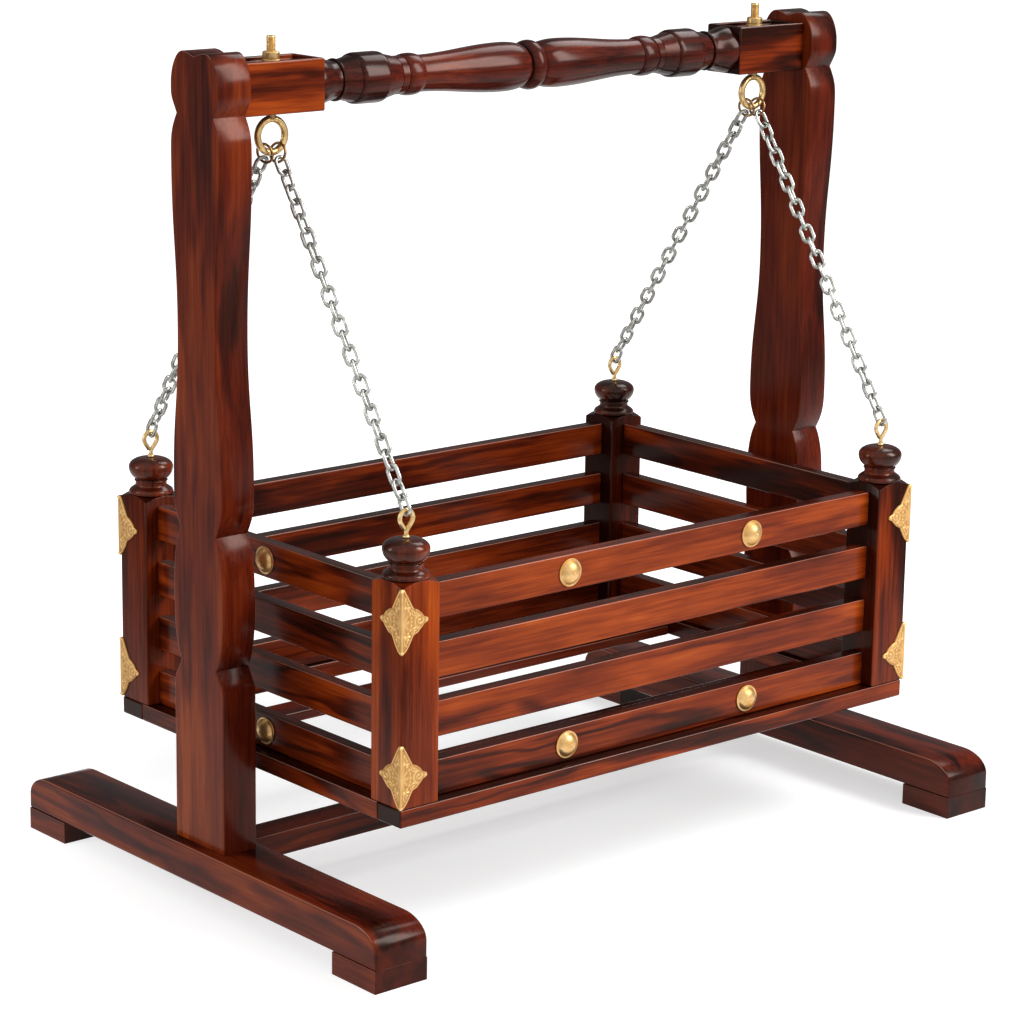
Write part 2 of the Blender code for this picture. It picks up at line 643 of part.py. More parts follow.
def corner_profile():
    """The turned finial over a shoulder that is wider than the post, from the top to the bottom."""
    neck = FINIAL_NECK_RADIUS
    bulge = FINIAL_BULB_RADIUS - neck
    taper_steps = 4
    taper = []
    for i in range(taper_steps + 1):
        share = i / taper_steps
        taper.append((FINIAL_TAPER_HEIGHT * share, neck + bulge * math.cos(math.pi / 2 * share)))
    sections = [
        quarter_round(FINIAL_CROWN_HEIGHT, FINIAL_TOP_RADIUS, FINIAL_BULB_RADIUS, 4),
        taper,
        [(0.0, neck), (FINIAL_GROOVE_HEIGHT, neck)],
        [(0.0, FINIAL_FILLET_RADIUS), (FINIAL_FILLET_HEIGHT, FINIAL_FILLET_RADIUS)],
        [(0.0, neck), (FINIAL_NECK_HEIGHT, neck)],
        sweep(FINIAL_OGEE_HEIGHT, neck, FINIAL_FOOT_RADIUS, 3),
        [(0.0, FINIAL_FOOT_RADIUS), (FINIAL_FOOT_HEIGHT, FINIAL_FOOT_RADIUS)]]
    points = [(0.0, FINIAL_TOP)]
    points += [(radius, FINIAL_TOP - along) for along, radius in chain_sections(0.0, sections)]
    corner = CORNER_POST_SIDE / math.sqrt(2)
    shoulder = (corner - FINIAL_FOOT_RADIUS) / 2
    points.append((FINIAL_FOOT_RADIUS + shoulder, SQUARE_TOP - POMMEL_DROP / 3))
    points.append((corner + EDGE_ROUND, SQUARE_TOP - POMMEL_DROP))
    points.append((corner + EDGE_ROUND, CORNER_BASE))
    points.append((0.0, CORNER_BASE))
    return points


def corner_post_mesh():
    """Square stock whose top is turned to a finial, drilled for its screw eye; it stands on the Z axis."""
    post = turned("corner_post", corner_profile(), TURNED_STEPS)
    half = CORNER_POST_SIDE / 2
    stock = cube_mesh("stock", (-half, -half, CORNER_BASE - EDGE_ROUND), (half, half, FINIAL_TOP + EDGE_ROUND))
    cut(post, cutter("corner_stock", stock), "INTERSECT")
    hole = rod_mesh(
        "hole", SCREW_EYE_WIRE_RADIUS + SEAT_GAP, (0.0, 0.0, FINIAL_TOP - SCREW_EYE_DEPTH - SEAT_GAP),
        (0.0, 0.0, FINIAL_TOP + SCREW_EYE_DEPTH), WIRE_STEPS)
    cut(post, cutter("screw_eye_hole", hole), "DIFFERENCE")
    bpy.context.view_layer.update()
    mesh = bake(post)
    smooth(mesh)
    return mesh


def screw_eye_mesh():
    """A wire eye on a stem with a small collar that sits on the finial; it stands on the Z axis."""
    upright = Matrix.Translation((0.0, 0.0, SCREW_EYE_LEVEL)) @ Matrix.Rotation(math.pi / 2, 4, "X")
    eye = torus_mesh("eye", SCREW_EYE_RADIUS, SCREW_EYE_WIRE_RADIUS, RING_STEPS, upright)
    seat = FINIAL_TOP + SEAT_GAP
    stem_top = SCREW_EYE_LEVEL - SCREW_EYE_RADIUS
    profile = [
        (0.0, stem_top), (SCREW_EYE_WIRE_RADIUS, stem_top),
        (SCREW_EYE_WIRE_RADIUS, seat + SCREW_EYE_COLLAR_HEIGHT),
        (SCREW_EYE_COLLAR_RADIUS, seat + SCREW_EYE_COLLAR_HEIGHT),
        (SCREW_EYE_COLLAR_RADIUS, seat), (SCREW_EYE_WIRE_RADIUS, seat),
        (SCREW_EYE_WIRE_RADIUS, FINIAL_TOP - SCREW_EYE_DEPTH), (0.0, FINIAL_TOP - SCREW_EYE_DEPTH)]
    stem = turned("stem", profile, WIRE_STEPS)
    bpy.context.view_layer.update()
    return fuse(eye, bake(stem), "screw_eye")


def plate_half_outline():
    """Right half of a corner plate from its top tip to its bottom tip: (width, height over the side tips)."""
    tip = PLATE_HALF_WIDTH
    return [
        (0.0, PLATE_RISE), (0.15 * tip, 0.79 * PLATE_RISE), (0.42 * tip, 0.52 * PLATE_RISE),
        (0.55 * tip, 0.44 * PLATE_RISE), (0.64 * tip, 0.29 * PLATE_RISE), (0.82 * tip, 0.16 * PLATE_RISE),
        (tip, 0.04 * PLATE_RISE), (tip, -0.05 * PLATE_FALL), (0.89 * tip, -0.11 * PLATE_FALL),
        (0.68 * tip, -0.27 * PLATE_FALL), (0.48 * tip, -0.38 * PLATE_FALL), (0.37 * tip, -0.51 * PLATE_FALL),
        (0.25 * tip, -0.69 * PLATE_FALL),
        (0.0, -PLATE_FALL)]


def plate_mesh(sign_x, sign_y, tip_level):
    """A thin plate folded round the post's outer edge: two half outlines that share the fold."""
    fold = Vector((sign_x * (BOX_HALF_X + SEAT_GAP), sign_y * (BOX_HALF_Y + SEAT_GAP), tip_level))
    half = plate_half_outline()
    shape = bmesh.new()
    fold_ends = [shape.verts.new(fold + Vector((0.0, 0.0, half[i][1]))) for i in (0, -1)]
    for across in (Vector((-sign_x, 0.0, 0.0)), Vector((0.0, -sign_y, 0.0))):
        edge = [shape.verts.new(fold + across * w + Vector((0.0, 0.0, h))) for w, h in half[1:-1]]
        shape.faces.new([fold_ends[0], *edge, fold_ends[1]])
    for face in shape.faces:
        face.normal_update()
        if face.normal.dot(Vector((sign_x, sign_y, 0.0))) < 0:
            face.normal_flip()
    mesh = bpy.data.meshes.new("corner_plate")
    shape.to_mesh(mesh)
    shape.free()
    thing = make_object("corner_plate", mesh, PARTS)
    solid = thing.modifiers.new("sheet", "SOLIDIFY")
    solid.thickness = PLATE_THICKNESS
    solid.offset = 1.0
    solid.use_even_offset = True
    bpy.context.view_layer.update()
    return bake(thing)


def make_corners(box):
    """Corner posts with their screw eyes and brass plates."""
    post = corner_post_mesh()
    eye = screw_eye_mesh()
    upper_tips = SQUARE_TOP - POMMEL_DROP - PLATE_EDGE_MARGIN - PLATE_RISE
    lower_tips = BASE_TOP + PLATE_EDGE_MARGIN + PLATE_FALL
    for side, sign_x in SIDES.items():
        for face, sign_y in FACES.items():
            corner = f"{side}_{face}"
            place = Matrix.Translation((sign_x * CORNER_X, sign_y * CORNER_Y, 0.0))
            for name, source, finish in (("corner_post", post, RED_WOOD), ("screw_eye", eye, BRASS)):
                mesh = source.copy()
                mesh.transform(place)
                finish_piece(make_object(f"{name}_{corner}", mesh, PARTS), finish, box)
            for level, tips in (("top", upper_tips), ("bottom", lower_tips)):
                plate = make_object(f"corner_plate_{corner}_{level}", plate_mesh(sign_x, sign_y, tips), PARTS)
                finish_piece(plate, GILT, box)


def make_slats(box):
    """Four slats on each side between the corner posts; the lowest row stands on the base rails."""
    reach_x = BOX_HALF_X - CORNER_POST_SIDE - SEAT_GAP
    reach_y = BOX_HALF_Y - CORNER_POST_SIDE - SEAT_GAP
    for row in range(SLAT_ROWS):
        low = CORNER_BASE + SLAT_PITCH * (SLAT_ROWS - 1 - row)
        high = low + SLAT_HEIGHT
        for face, sign in FACES.items():
            outer = sign * (BOX_HALF_Y - SLAT_SETBACK)
            ys = sorted((outer, outer - sign * LONG_SLAT_THICKNESS))
            board(f"slat_{face}_{row + 1}", (-reach_x, ys[0], low), (reach_x, ys[1], high), RED_WOOD, box)
        for side, sign in SIDES.items():
            outer = sign * (BOX_HALF_X - SLAT_SETBACK)
            xs = sorted((outer, outer - sign * END_SLAT_THICKNESS))
            board(f"slat_{side}_{row + 1}", (xs[0], -reach_y, low), (xs[1], reach_y, high), RED_WOOD, box)


def make_base(box):
    """The base frame under the posts, and two battens across its opening for a mattress board."""
    inner_x = BOX_HALF_X - BASE_RAIL_WIDTH
    inner_y = BOX_HALF_Y - BASE_RAIL_WIDTH
    for face, sign in FACES.items():
        ys = sorted((sign * BOX_HALF_Y, sign * inner_y))
        low = (-BOX_HALF_X, ys[0], BOX_LEVEL)
        high = (BOX_HALF_X, ys[1], BASE_TOP)
        board(f"base_rail_{face}", low, high, RED_WOOD, box)
        middle = sign * BATTEN_OFFSET
        low = (-inner_x + SEAT_GAP, middle - BATTEN_WIDTH / 2, BOX_LEVEL)
        high = (inner_x - SEAT_GAP, middle + BATTEN_WIDTH / 2, BOX_LEVEL + BATTEN_THICKNESS)
        board(f"floor_batten_{face}", low, high, DARK_WOOD, box)
    for side, sign in SIDES.items():
        xs = sorted((sign * BOX_HALF_X, sign * inner_x))
        low = (xs[0], -inner_y + SEAT_GAP, BOX_LEVEL)
        high = (xs[1], inner_y - SEAT_GAP, BASE_TOP)
        board(f"base_rail_{side}", low, high, RED_WOOD, box)


def make_cradle():
    """Every piece, each on the empty of the body that it moves with."""
    chain_top = chain_ends("left", "front")[1].z
    chain_bottom = chain_ends("left", "front")[2].z
    stand = make_empty("stand", (0.0, 0.0, 0.0))
    swing = make_empty("swing_axis", (0.0, 0.0, SWING_LEVEL))
    chain_axes = {}
    for side, sign in SIDES.items():
        chain_axes[side] = make_empty(f"{side}_chain_axis", (sign * HANG_X, 0.0, chain_top))
    box = make_empty("box_axis", (-HANG_X, 0.0, chain_bottom))
    make_stand(stand)
    make_rail(stand)
    make_bolts(stand)
    make_hangers(swing, chain_axes)
    make_corners(box)
    make_slats(box)
    make_base(box)
    for tool in list(CUTTERS.objects):
        bpy.data.objects.remove(tool, do_unlink=True)
    print("swing axis height", round(SWING_LEVEL, 5))
    print("chain axis heights", round(chain_top, 5), round(chain_bottom, 5))


make_cradle()
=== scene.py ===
"""Finished looks of the hanging cradle: lacquered sheesham, brass fittings and zinc-plated chain."""
import math

import bmesh
import bpy
from mathutils import Matrix, Vector


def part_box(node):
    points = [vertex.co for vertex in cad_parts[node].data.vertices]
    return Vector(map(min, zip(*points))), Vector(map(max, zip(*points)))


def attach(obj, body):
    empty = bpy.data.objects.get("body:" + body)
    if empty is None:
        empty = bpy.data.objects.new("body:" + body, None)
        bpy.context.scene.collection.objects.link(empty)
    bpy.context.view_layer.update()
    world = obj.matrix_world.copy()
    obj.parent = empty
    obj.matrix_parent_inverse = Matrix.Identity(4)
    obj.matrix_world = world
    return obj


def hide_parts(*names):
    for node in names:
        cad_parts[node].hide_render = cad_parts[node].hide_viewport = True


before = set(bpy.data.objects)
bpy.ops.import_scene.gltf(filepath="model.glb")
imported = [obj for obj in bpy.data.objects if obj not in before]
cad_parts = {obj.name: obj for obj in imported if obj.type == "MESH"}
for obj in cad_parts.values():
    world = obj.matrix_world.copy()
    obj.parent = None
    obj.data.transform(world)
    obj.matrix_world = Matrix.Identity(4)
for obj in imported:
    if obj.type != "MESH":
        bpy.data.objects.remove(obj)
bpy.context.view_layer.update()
scene = bpy.context.scene


# Camera: a long lens from the front left and a little above, looking down on the box. It stands far enough
# away that the uprights stay almost parallel.
CAMERA_PLACE = (-2.4331, -2.7928, 1.3055)
CAMERA_AZIMUTH = math.radians(40.911)
CAMERA_FALL = math.radians(14.030)
CAMERA_ROLL = math.radians(0.880)
CAMERA_REACH = 100.0
FOCAL_PIXELS = 3236.4
PICTURE_PIXELS = 1024
SENSOR_MM = 36.0

look = Vector((math.sin(CAMERA_AZIMUTH) * math.cos(CAMERA_FALL),
               math.cos(CAMERA_AZIMUTH) * math.cos(CAMERA_FALL), -math.sin(CAMERA_FALL)))
level_right = look.cross(Vector((0.0, 0.0, 1.0))).normalized()
level_up = level_right.cross(look)
camera_right = level_right * math.cos(CAMERA_ROLL) + level_up * math.sin(CAMERA_ROLL)
camera_up = level_up * math.cos(CAMERA_ROLL) - level_right * math.sin(CAMERA_ROLL)
camera_turn = Matrix((camera_right, camera_up, -look)).transposed().to_4x4()
camera_data = bpy.data.cameras.new("camera")
camera_data.sensor_width = SENSOR_MM
camera_data.lens = SENSOR_MM * FOCAL_PIXELS / PICTURE_PIXELS
camera_data.clip_end = CAMERA_REACH
camera = bpy.data.objects.new("camera", camera_data)
camera.matrix_world = Matrix.Translation(CAMERA_PLACE) @ camera_turn
scene.collection.objects.link(camera)
scene.camera = camera
scene.view_settings.view_transform = "Standard"


# Studio: a white floor that fades into a white surround, a tall soft box in front on the right, whose
# reflection draws the pale facets and arrises on the lacquer, weaker ones above and on the left, and a fill.
# A span is what a fade reads, in metres or as a cosine, and a glow is what it gives at the span's two ends.
PURE_WHITE = "#FFFFFF"
FLOOR_WHITE = "#C9C9C9"
FLOOR_ROUGHNESS = 0.9
FLOOR_HALF = 12.0
FADE_PLACE = (0.20, -0.05, 0.0)
FADE_SPAN = (0.45, 1.05)
FADE_GLOW = (0.58, 1.0)
MIRRORED_SPAN = (0.70, 2.20)
MIRRORED_GLOW = (0.75, 0.12)
FRONT_WAY = (-0.48, -0.66, 0.58)
FRONT_SPAN = (-0.1, 0.6)
FRONT_GLOW = (0.20, 1.0)
FILL_WAY = (-0.58, -0.80, 0.05)
FILL_SPAN = (-0.5, 0.8)
FILL_GLOW = (0.06, 0.74)
LAMP_AIM = Vector((0.0, 0.0, 0.50))
# Each soft box: its place, width, height and radiance.
SOFT_BOXES = {"front_right_box": ((1.60, -2.30, 2.45), 1.3, 2.2, 11.5),
              "left_box": ((-3.00, 1.50, 1.40), 0.8, 1.6, 5.5),
              "top_right_box": ((1.70, 0.40, 2.80), 1.2, 1.2, 5.0)}


def srgb(code):
    """A colour written as hex, as the linear values that sockets take."""
    values = [int(code[i:i + 2], 16) / 255 for i in (1, 3, 5)]
    return (*(v / 12.92 if v <= 0.04045 else ((v + 0.055) / 1.055) ** 2.4 for v in values), 1.0)


def add(tree, kind, *values, sockets=None, **settings):
    """A node whose inputs take the values in order, and those of sockets by number. A setting is a property
    or, with _ for each space, an input's name. A node or an output given as a value is linked."""
    node = tree.nodes.new(kind)
    inputs = {**dict(enumerate(values)), **(sockets or {})}
    for key, value in settings.items():
        if hasattr(node, key):
            setattr(node, key, value)
        else:
            inputs[key.replace("_", " ")] = value
    for key, value in inputs.items():
        if isinstance(value, bpy.types.Node):
            value = value.outputs[0]
        if isinstance(value, bpy.types.NodeSocket):
            tree.links.new(value, node.inputs[key])
        else:
            node.inputs[key].default_value = value
    return node


def empty_material(name):
    """A new material and its node tree with nothing in it."""
    material = bpy.data.materials.new(name)
    material.use_nodes = True
    material.node_tree.nodes.clear()
    return material, material.node_tree


world = bpy.data.worlds.new("white surround")
world.use_nodes = True
scene.world = world
tree = world.node_tree
tree.nodes.clear()
rays = add(tree, "ShaderNodeLightPath").outputs
way = add(tree, "ShaderNodeTexCoord").outputs["Generated"]
front = add(tree, "ShaderNodeVectorMath", way, FRONT_WAY, operation="DOT_PRODUCT").outputs["Value"]
mirrored = add(tree, "ShaderNodeMapRange", front, *FRONT_SPAN, *FRONT_GLOW, interpolation_type="SMOOTHSTEP")
seen = add(tree, "ShaderNodeMath", rays["Is Camera Ray"], rays["Is Transmission Ray"], operation="MAXIMUM")
shown = add(tree, "ShaderNodeMath", rays["Is Glossy Ray"], mirrored, operation="MULTIPLY")
lit = add(tree, "ShaderNodeVectorMath", way, FILL_WAY, operation="DOT_PRODUCT").outputs["Value"]
even = add(tree, "ShaderNodeMapRange", lit, *FILL_SPAN, *FILL_GLOW)
fill = add(tree, "ShaderNodeMath", rays["Is Diffuse Ray"], even, seen, operation="MULTIPLY_ADD")
strength = add(tree, "ShaderNodeMath", shown, fill, operation="ADD")
sky = add(tree, "ShaderNodeBackground", srgb(PURE_WHITE), strength)
add(tree, "ShaderNodeOutputWorld", sky)

floor_paint, tree = empty_material("matt white studio floor")
rays = add(tree, "ShaderNodeLightPath").outputs
place = add(tree, "ShaderNodeTexCoord").outputs["Object"]
reach = add(tree, "ShaderNodeVectorMath", place, FADE_PLACE, operation="DISTANCE").outputs["Value"]
fade = add(tree, "ShaderNodeMapRange", reach, *FADE_SPAN, *FADE_GLOW, interpolation_type="SMOOTHSTEP")
seen = add(tree, "ShaderNodeMath", rays["Is Camera Ray"], rays["Is Transmission Ray"], operation="MAXIMUM")
direct = add(tree, "ShaderNodeMath", fade, seen, operation="MULTIPLY")
sheet = add(tree, "ShaderNodeMapRange", reach, *MIRRORED_SPAN, *MIRRORED_GLOW,
            interpolation_type="SMOOTHSTEP")
glow = add(tree, "ShaderNodeMath", rays["Is Glossy Ray"], sheet, direct, operation="MULTIPLY_ADD")
paint = add(tree, "ShaderNodeBsdfPrincipled", Base_Color=srgb(FLOOR_WHITE), Roughness=FLOOR_ROUGHNESS,
            Specular_IOR_Level=0.0, Emission_Color=srgb(PURE_WHITE), Emission_Strength=glow)
add(tree, "ShaderNodeOutputMaterial", paint)
floor_mesh = bpy.data.meshes.new("studio_floor")
floor_mesh.from_pydata([(-FLOOR_HALF, -FLOOR_HALF, 0.0), (FLOOR_HALF, -FLOOR_HALF, 0.0),
                        (FLOOR_HALF, FLOOR_HALF, 0.0), (-FLOOR_HALF, FLOOR_HALF, 0.0)], [], [(0, 1, 2, 3)])
floor_mesh.materials.append(floor_paint)
floor = bpy.data.objects.new("studio_floor", floor_mesh)
scene.collection.objects.link(floor)

for name, (lamp_place, width, height, radiance) in SOFT_BOXES.items():
    lamp = bpy.data.lights.new(name, "AREA")
    lamp.shape = "RECTANGLE"
    lamp.size = width
    lamp.size_y = height
    lamp.energy = radiance * math.pi * width * height
    holder = bpy.data.objects.new(name, lamp)
    holder.location = lamp_place
    holder.rotation_euler = (LAMP_AIM - Vector(lamp_place)).to_track_quat("-Z", "Y").to_euler()
    scene.collection.objects.link(holder)


# Feet: two long bars of solid sheesham with a rounded nose at each end, eased along the arrises and
# finished in clear lacquer over the dark heartwood.
SIDES = {"left": -1, "right": 1}
FOOT_NOSE_LENGTH = 0.038
FOOT_NOSE_HEIGHT = 0.024
FOOT_ARRIS = 0.0025
FOOT_LIFT = {"left": 0.04, "right": -0.14}
NOSE_STEPS = 12
ARRIS_STEPS = 3
PLANK_CREASE = 40
STAND_TONES = ("#1E0703", "#3C1007", "#5E1D0C", "#7D2F11", "#9E4719")
# Layers of the grain: width across it in metres, share of its stretch along it, detail and roughness. The
# real pores are finer; they are drawn as coarse as they need to show.
GRAIN = {"curl": (0.034, 0.22, 2.0, 0.50), "figure": (0.034, 0.10, 1.5, 0.45),
         "patches": (0.096, 0.10, 1.0, 0.50), "drift": (0.060, 0.22, 3.0, 0.55),
         "streaks": (0.0042, 0.035, 2.0, 0.50), "pores": (0.0018, 0.045, 2.0, 0.60)}
GRAIN_SLANT = 0.05
CURLED = ("figure", "patches")
CURL_REACH = 0.022
# What each layer does to the tone: the span that is read, then the change at the span's two ends.
GROWTH_LINES = (0.0, 0.70, 0.34, 0.0)
PATCHES = (0.38, 0.58, 0.25, 1.0)
STREAKS = (0.38, 0.62, -0.10, 0.02)
LENGTHWISE = (0.55, 0.95, 1.0, 0.25)
END_GRAIN = (0.55, 0.95, 0.065, 0.220)
DRIFT_SPAN = (0.30, 0.70)
DRIFT_TONE = (0.42, 0.80)
PORE_TONE = 0.28
# Painted shade on the edges of a board: the span of its mask.
EDGE_SHADE_SPAN = (0.30, 0.80)
LACQUER_IOR = 1.5
LACQUER_TINT = "#FFE7DA"
LACQUER_GLOSS = 0.16
LACQUER_ROUGHNESS = 0.14
PORE_ROUGHNESS = 0.11
PORE_BUMP = 0.10
PORE_DEPTH = 0.0004
# Painted highlight: a pale colour laid on the upper arrises of boards, masked by how far they face up and
# along the broad faces, at a share.
PAINTED_ARRIS_HIGHLIGHT = "#C49C8C"
ARRIS_HIGHLIGHT_UPWARD = (0.40, 0.62)
ARRIS_HIGHLIGHT_BROAD = (0.50, 0.68)
ARRIS_HIGHLIGHT_SHARE = 0.48


def lacquered_sheesham(name, grain, tones, shift, layers, lift=0.0, face=None, edge=0.0, shade=None,
                       gloss=LACQUER_GLOSS):
    """Sheesham under lacquer: dark growth lines curl along the grain, the tone drifts from near black to
    orange, and fine open pores break the gloss. End grain is darker. On a board whose broad faces look along
    the axis face, painted shade darkens the edges and a painted pale highlight lies on the upper arrises. The
    wood can also darken with distance along an axis: shade is (axis, start, end, amount)."""
    material, tree = empty_material(name)
    coords = add(tree, "ShaderNodeTexCoord").outputs
    axis = [float(letter == grain) for letter in "XYZ"]
    layer = {}
    for part, (width, stretch, detail, roughness) in GRAIN.items():
        squeeze = [stretch if value else 1.0 for value in axis]
        place = add(tree, "ShaderNodeMapping", coords["Object"], [shift] * 3, [GRAIN_SLANT] * 3, squeeze)
        if part in CURLED:
            place = add(tree, "ShaderNodeVectorMath", layer["curl"].outputs["Color"], [CURL_REACH] * 3, place,
                        operation="MULTIPLY_ADD")
        layer[part] = add(tree, "ShaderNodeTexNoise", Vector=place, Scale=1 / width, Detail=detail,
                          Roughness=roughness)
    rings = add(tree, "ShaderNodeMath", layer["figure"], layers, operation="MULTIPLY")
    bands = add(tree, "ShaderNodeMath", rings, 1.0, operation="PINGPONG")
    along = add(tree, "ShaderNodeVectorMath", coords["Normal"], axis, operation="DOT_PRODUCT")
    endwise = add(tree, "ShaderNodeMath", along.outputs["Value"], operation="ABSOLUTE")
    spans = {"lines": (bands, *GROWTH_LINES), "patches": (layer["patches"], *PATCHES),
             "streaks": (layer["streaks"], *STREAKS), "lengthwise": (endwise, *LENGTHWISE),
             "ends": (endwise, *END_GRAIN),
             "tone": (layer["drift"], *DRIFT_SPAN, *(tone + lift for tone in DRIFT_TONE))}
    if face:
        outward = add(tree, "ShaderNodeSeparateXYZ", coords["Normal"]).outputs
        facing = add(tree, "ShaderNodeMath", outward[face], operation="ABSOLUTE")
        # Painted shade: the edges of the board are darkened by the amount edge.
        spans["edges"] = (facing, *EDGE_SHADE_SPAN, edge, 0.0)
        spans["upward"] = (outward["Z"], *ARRIS_HIGHLIGHT_UPWARD, 0.0, ARRIS_HIGHLIGHT_SHARE)
        spans["broad"] = (facing, *ARRIS_HIGHLIGHT_BROAD, 0.0, 1.0)
    if shade:
        shade_axis, start, end, amount = shade
        split = add(tree, "ShaderNodeSeparateXYZ", coords["Object"]).outputs
        distance = add(tree, "ShaderNodeMath", split[shade_axis], operation="ABSOLUTE")
        spans["shade"] = (distance, start, end, 0.0, amount)
    eased = {part: add(tree, "ShaderNodeMapRange", *values, interpolation_type="SMOOTHSTEP")
             for part, values in spans.items()}
    darkness = add(tree, "ShaderNodeMath", eased["lines"], eased["patches"], operation="MULTIPLY")
    base = add(tree, "ShaderNodeMath", eased["tone"], darkness, operation="SUBTRACT")
    fine = add(tree, "ShaderNodeMath", layer["pores"], PORE_TONE, eased["streaks"], operation="MULTIPLY_ADD")
    value = add(tree, "ShaderNodeMath", fine, eased["lengthwise"], base, operation="MULTIPLY_ADD")
    for part in ("ends", "edges", "shade"):
        if part in eased:
            value = add(tree, "ShaderNodeMath", value, eased[part], operation="SUBTRACT")
    ramp = add(tree, "ShaderNodeValToRGB", value)
    stops = ramp.color_ramp.elements
    while len(stops) < len(tones):
        stops.new(0.5)
    for i, code in enumerate(tones):
        stops[i].position = i / (len(tones) - 1)
        stops[i].color = srgb(code)
    colour = ramp.outputs["Color"]
    if face:
        # Painted highlight: the pale colour on the upper arrises.
        brightening = add(tree, "ShaderNodeMath", eased["upward"], eased["broad"], operation="MULTIPLY")
        colour = add(tree, "ShaderNodeMix", brightening, sockets={6: colour, 7: srgb(PAINTED_ARRIS_HIGHLIGHT)},
                     data_type="RGBA").outputs[2]
    dull = add(tree, "ShaderNodeMath", layer["pores"], PORE_ROUGHNESS, LACQUER_ROUGHNESS,
               operation="MULTIPLY_ADD")
    relief = add(tree, "ShaderNodeBump", Strength=PORE_BUMP, Distance=PORE_DEPTH, Height=layer["pores"])
    wood = add(tree, "ShaderNodeBsdfPrincipled", Base_Color=colour, Roughness=dull, Normal=relief,
               IOR=LACQUER_IOR, Specular_IOR_Level=gloss, Specular_Tint=srgb(LACQUER_TINT))
    add(tree, "ShaderNodeOutputMaterial", wood)
    return material


def finished(shape):
    """A mesh from a bmesh with doubles merged and its faces turned outward."""
    bmesh.ops.remove_doubles(shape, verts=shape.verts[:], dist=1e-6)
    bmesh.ops.recalc_face_normals(shape, faces=shape.faces[:])
    mesh = bpy.data.meshes.new("piece")
    shape.to_mesh(mesh)
    shape.free()
    return mesh


def round_over(shape, edges, arris):
    """Rounds the arrises of a bmesh and smooths the new faces."""
    rounded = bmesh.ops.bevel(shape, geom=edges, offset=arris, segments=ARRIS_STEPS, profile=0.5,
                              affect="EDGES")
    for face in rounded["faces"]:
        face.smooth = True


def sawn_plank(outline, low_x, high_x, arris, crease=PLANK_CREASE):
    """A plank sawn to an outline in the YZ plane, with rounded arrises round both faces. The saw's own
    corners stay sharp where they turn by more than the crease."""
    shape = bmesh.new()
    rings = [[shape.verts.new((x, y, z)) for y, z in outline] for x in (low_x, high_x)]
    rim = []
    for ring in rings:
        rim += shape.faces.new(ring).edges[:]
    for i in range(len(outline)):
        shape.faces.new((rings[0][i - 1], rings[0][i], rings[1][i], rings[1][i - 1])).smooth = True
    bmesh.ops.recalc_face_normals(shape, faces=shape.faces[:])
    round_over(shape, rim, arris)
    for edge in shape.edges:
        run = edge.verts[1].co - edge.verts[0].co
        limit = crease if abs(run.x) > 0.9 * run.length else PLANK_CREASE
        edge.smooth = len(edge.link_faces) == 2 and edge.calc_face_angle() < math.radians(limit)
    return finished(shape)


def put(name, mesh, material, body, slot, *nodes):
    """One finished piece: its material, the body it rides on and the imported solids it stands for."""
    mesh.name = name
    mesh.materials.clear()
    mesh.materials.append(material)
    thing = bpy.data.objects.new(name, mesh)
    scene.collection.objects.link(thing)
    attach(thing, body)
    if nodes:
        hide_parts(*nodes)


foot_wood = {}
for side in SIDES:
    # The last value is painted shade on the edges of the foot.
    foot_wood[side] = lacquered_sheesham(f"dark_lacquered_sheesham_foot_{side}", "Y", STAND_TONES, 0.37, 7.0,
                                         FOOT_LIFT[side], "X", 0.16)
    low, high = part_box(f"foot_{side}")
    outline = [(high.y, low.z)]
    for middle_y, turn in ((high.y - FOOT_NOSE_LENGTH, 0.0), (low.y + FOOT_NOSE_LENGTH, math.pi / 2)):
        for i in range(NOSE_STEPS + 1):
            angle = turn + math.pi / 2 * i / NOSE_STEPS
            outline.append((middle_y + FOOT_NOSE_LENGTH * math.cos(angle),
                            high.z - FOOT_NOSE_HEIGHT * (1 - math.sin(angle))))
    outline.append((low.y, low.z))
    mesh = sawn_plank(outline, low.x, high.x, FOOT_ARRIS)
    put(f"foot_{side}_finished", mesh, foot_wood[side], "stand", "dark_wood", f"foot_{side}")


# Foot blocks: short offcuts of the same wood glued under both ends of each foot, so that the stand rests
# on four pads. The glue line stays open as a thin dark seam.
FACES = {"front": -1, "back": 1}
CORNERS = [(side, face) for side in SIDES for face in FACES]
PAD_ARRIS = 0.0006


def eased_board(low, high, arris):
    """A planed board between two corners, with every arris rounded over."""
    shape = bmesh.new()
    place = Matrix.Translation((low + high) / 2) @ Matrix.Diagonal((*(high - low), 1.0))
    bmesh.ops.create_cube(shape, size=1.0, matrix=place)
    round_over(shape, shape.edges[:], arris)
    return finished(shape)


def put_board(name, arris, wood, body, slot):
    """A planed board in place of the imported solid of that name."""
    put(f"{name}_finished", eased_board(*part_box(name), arris), wood, body, slot, name)


for side, face in CORNERS:
    put_board(f"foot_block_{side}_{face}", PAD_ARRIS, foot_wood[side], "stand", "dark_wood")


# Stretcher: a low bar of the same wood let in between the two feet, planed on all four sides and lacquered
# with them.
BOARD_ARRIS = 0.0018
# Its last value is painted shade on the edges of the stretcher.
stand_wood_x = lacquered_sheesham("dark_lacquered_sheesham_along_x", "X", STAND_TONES, 1.10, 9.0, -0.04,
                                  "Y", 0.25)
put_board("stretcher", BOARD_ARRIS, stand_wood_x, "stand", "dark_wood")


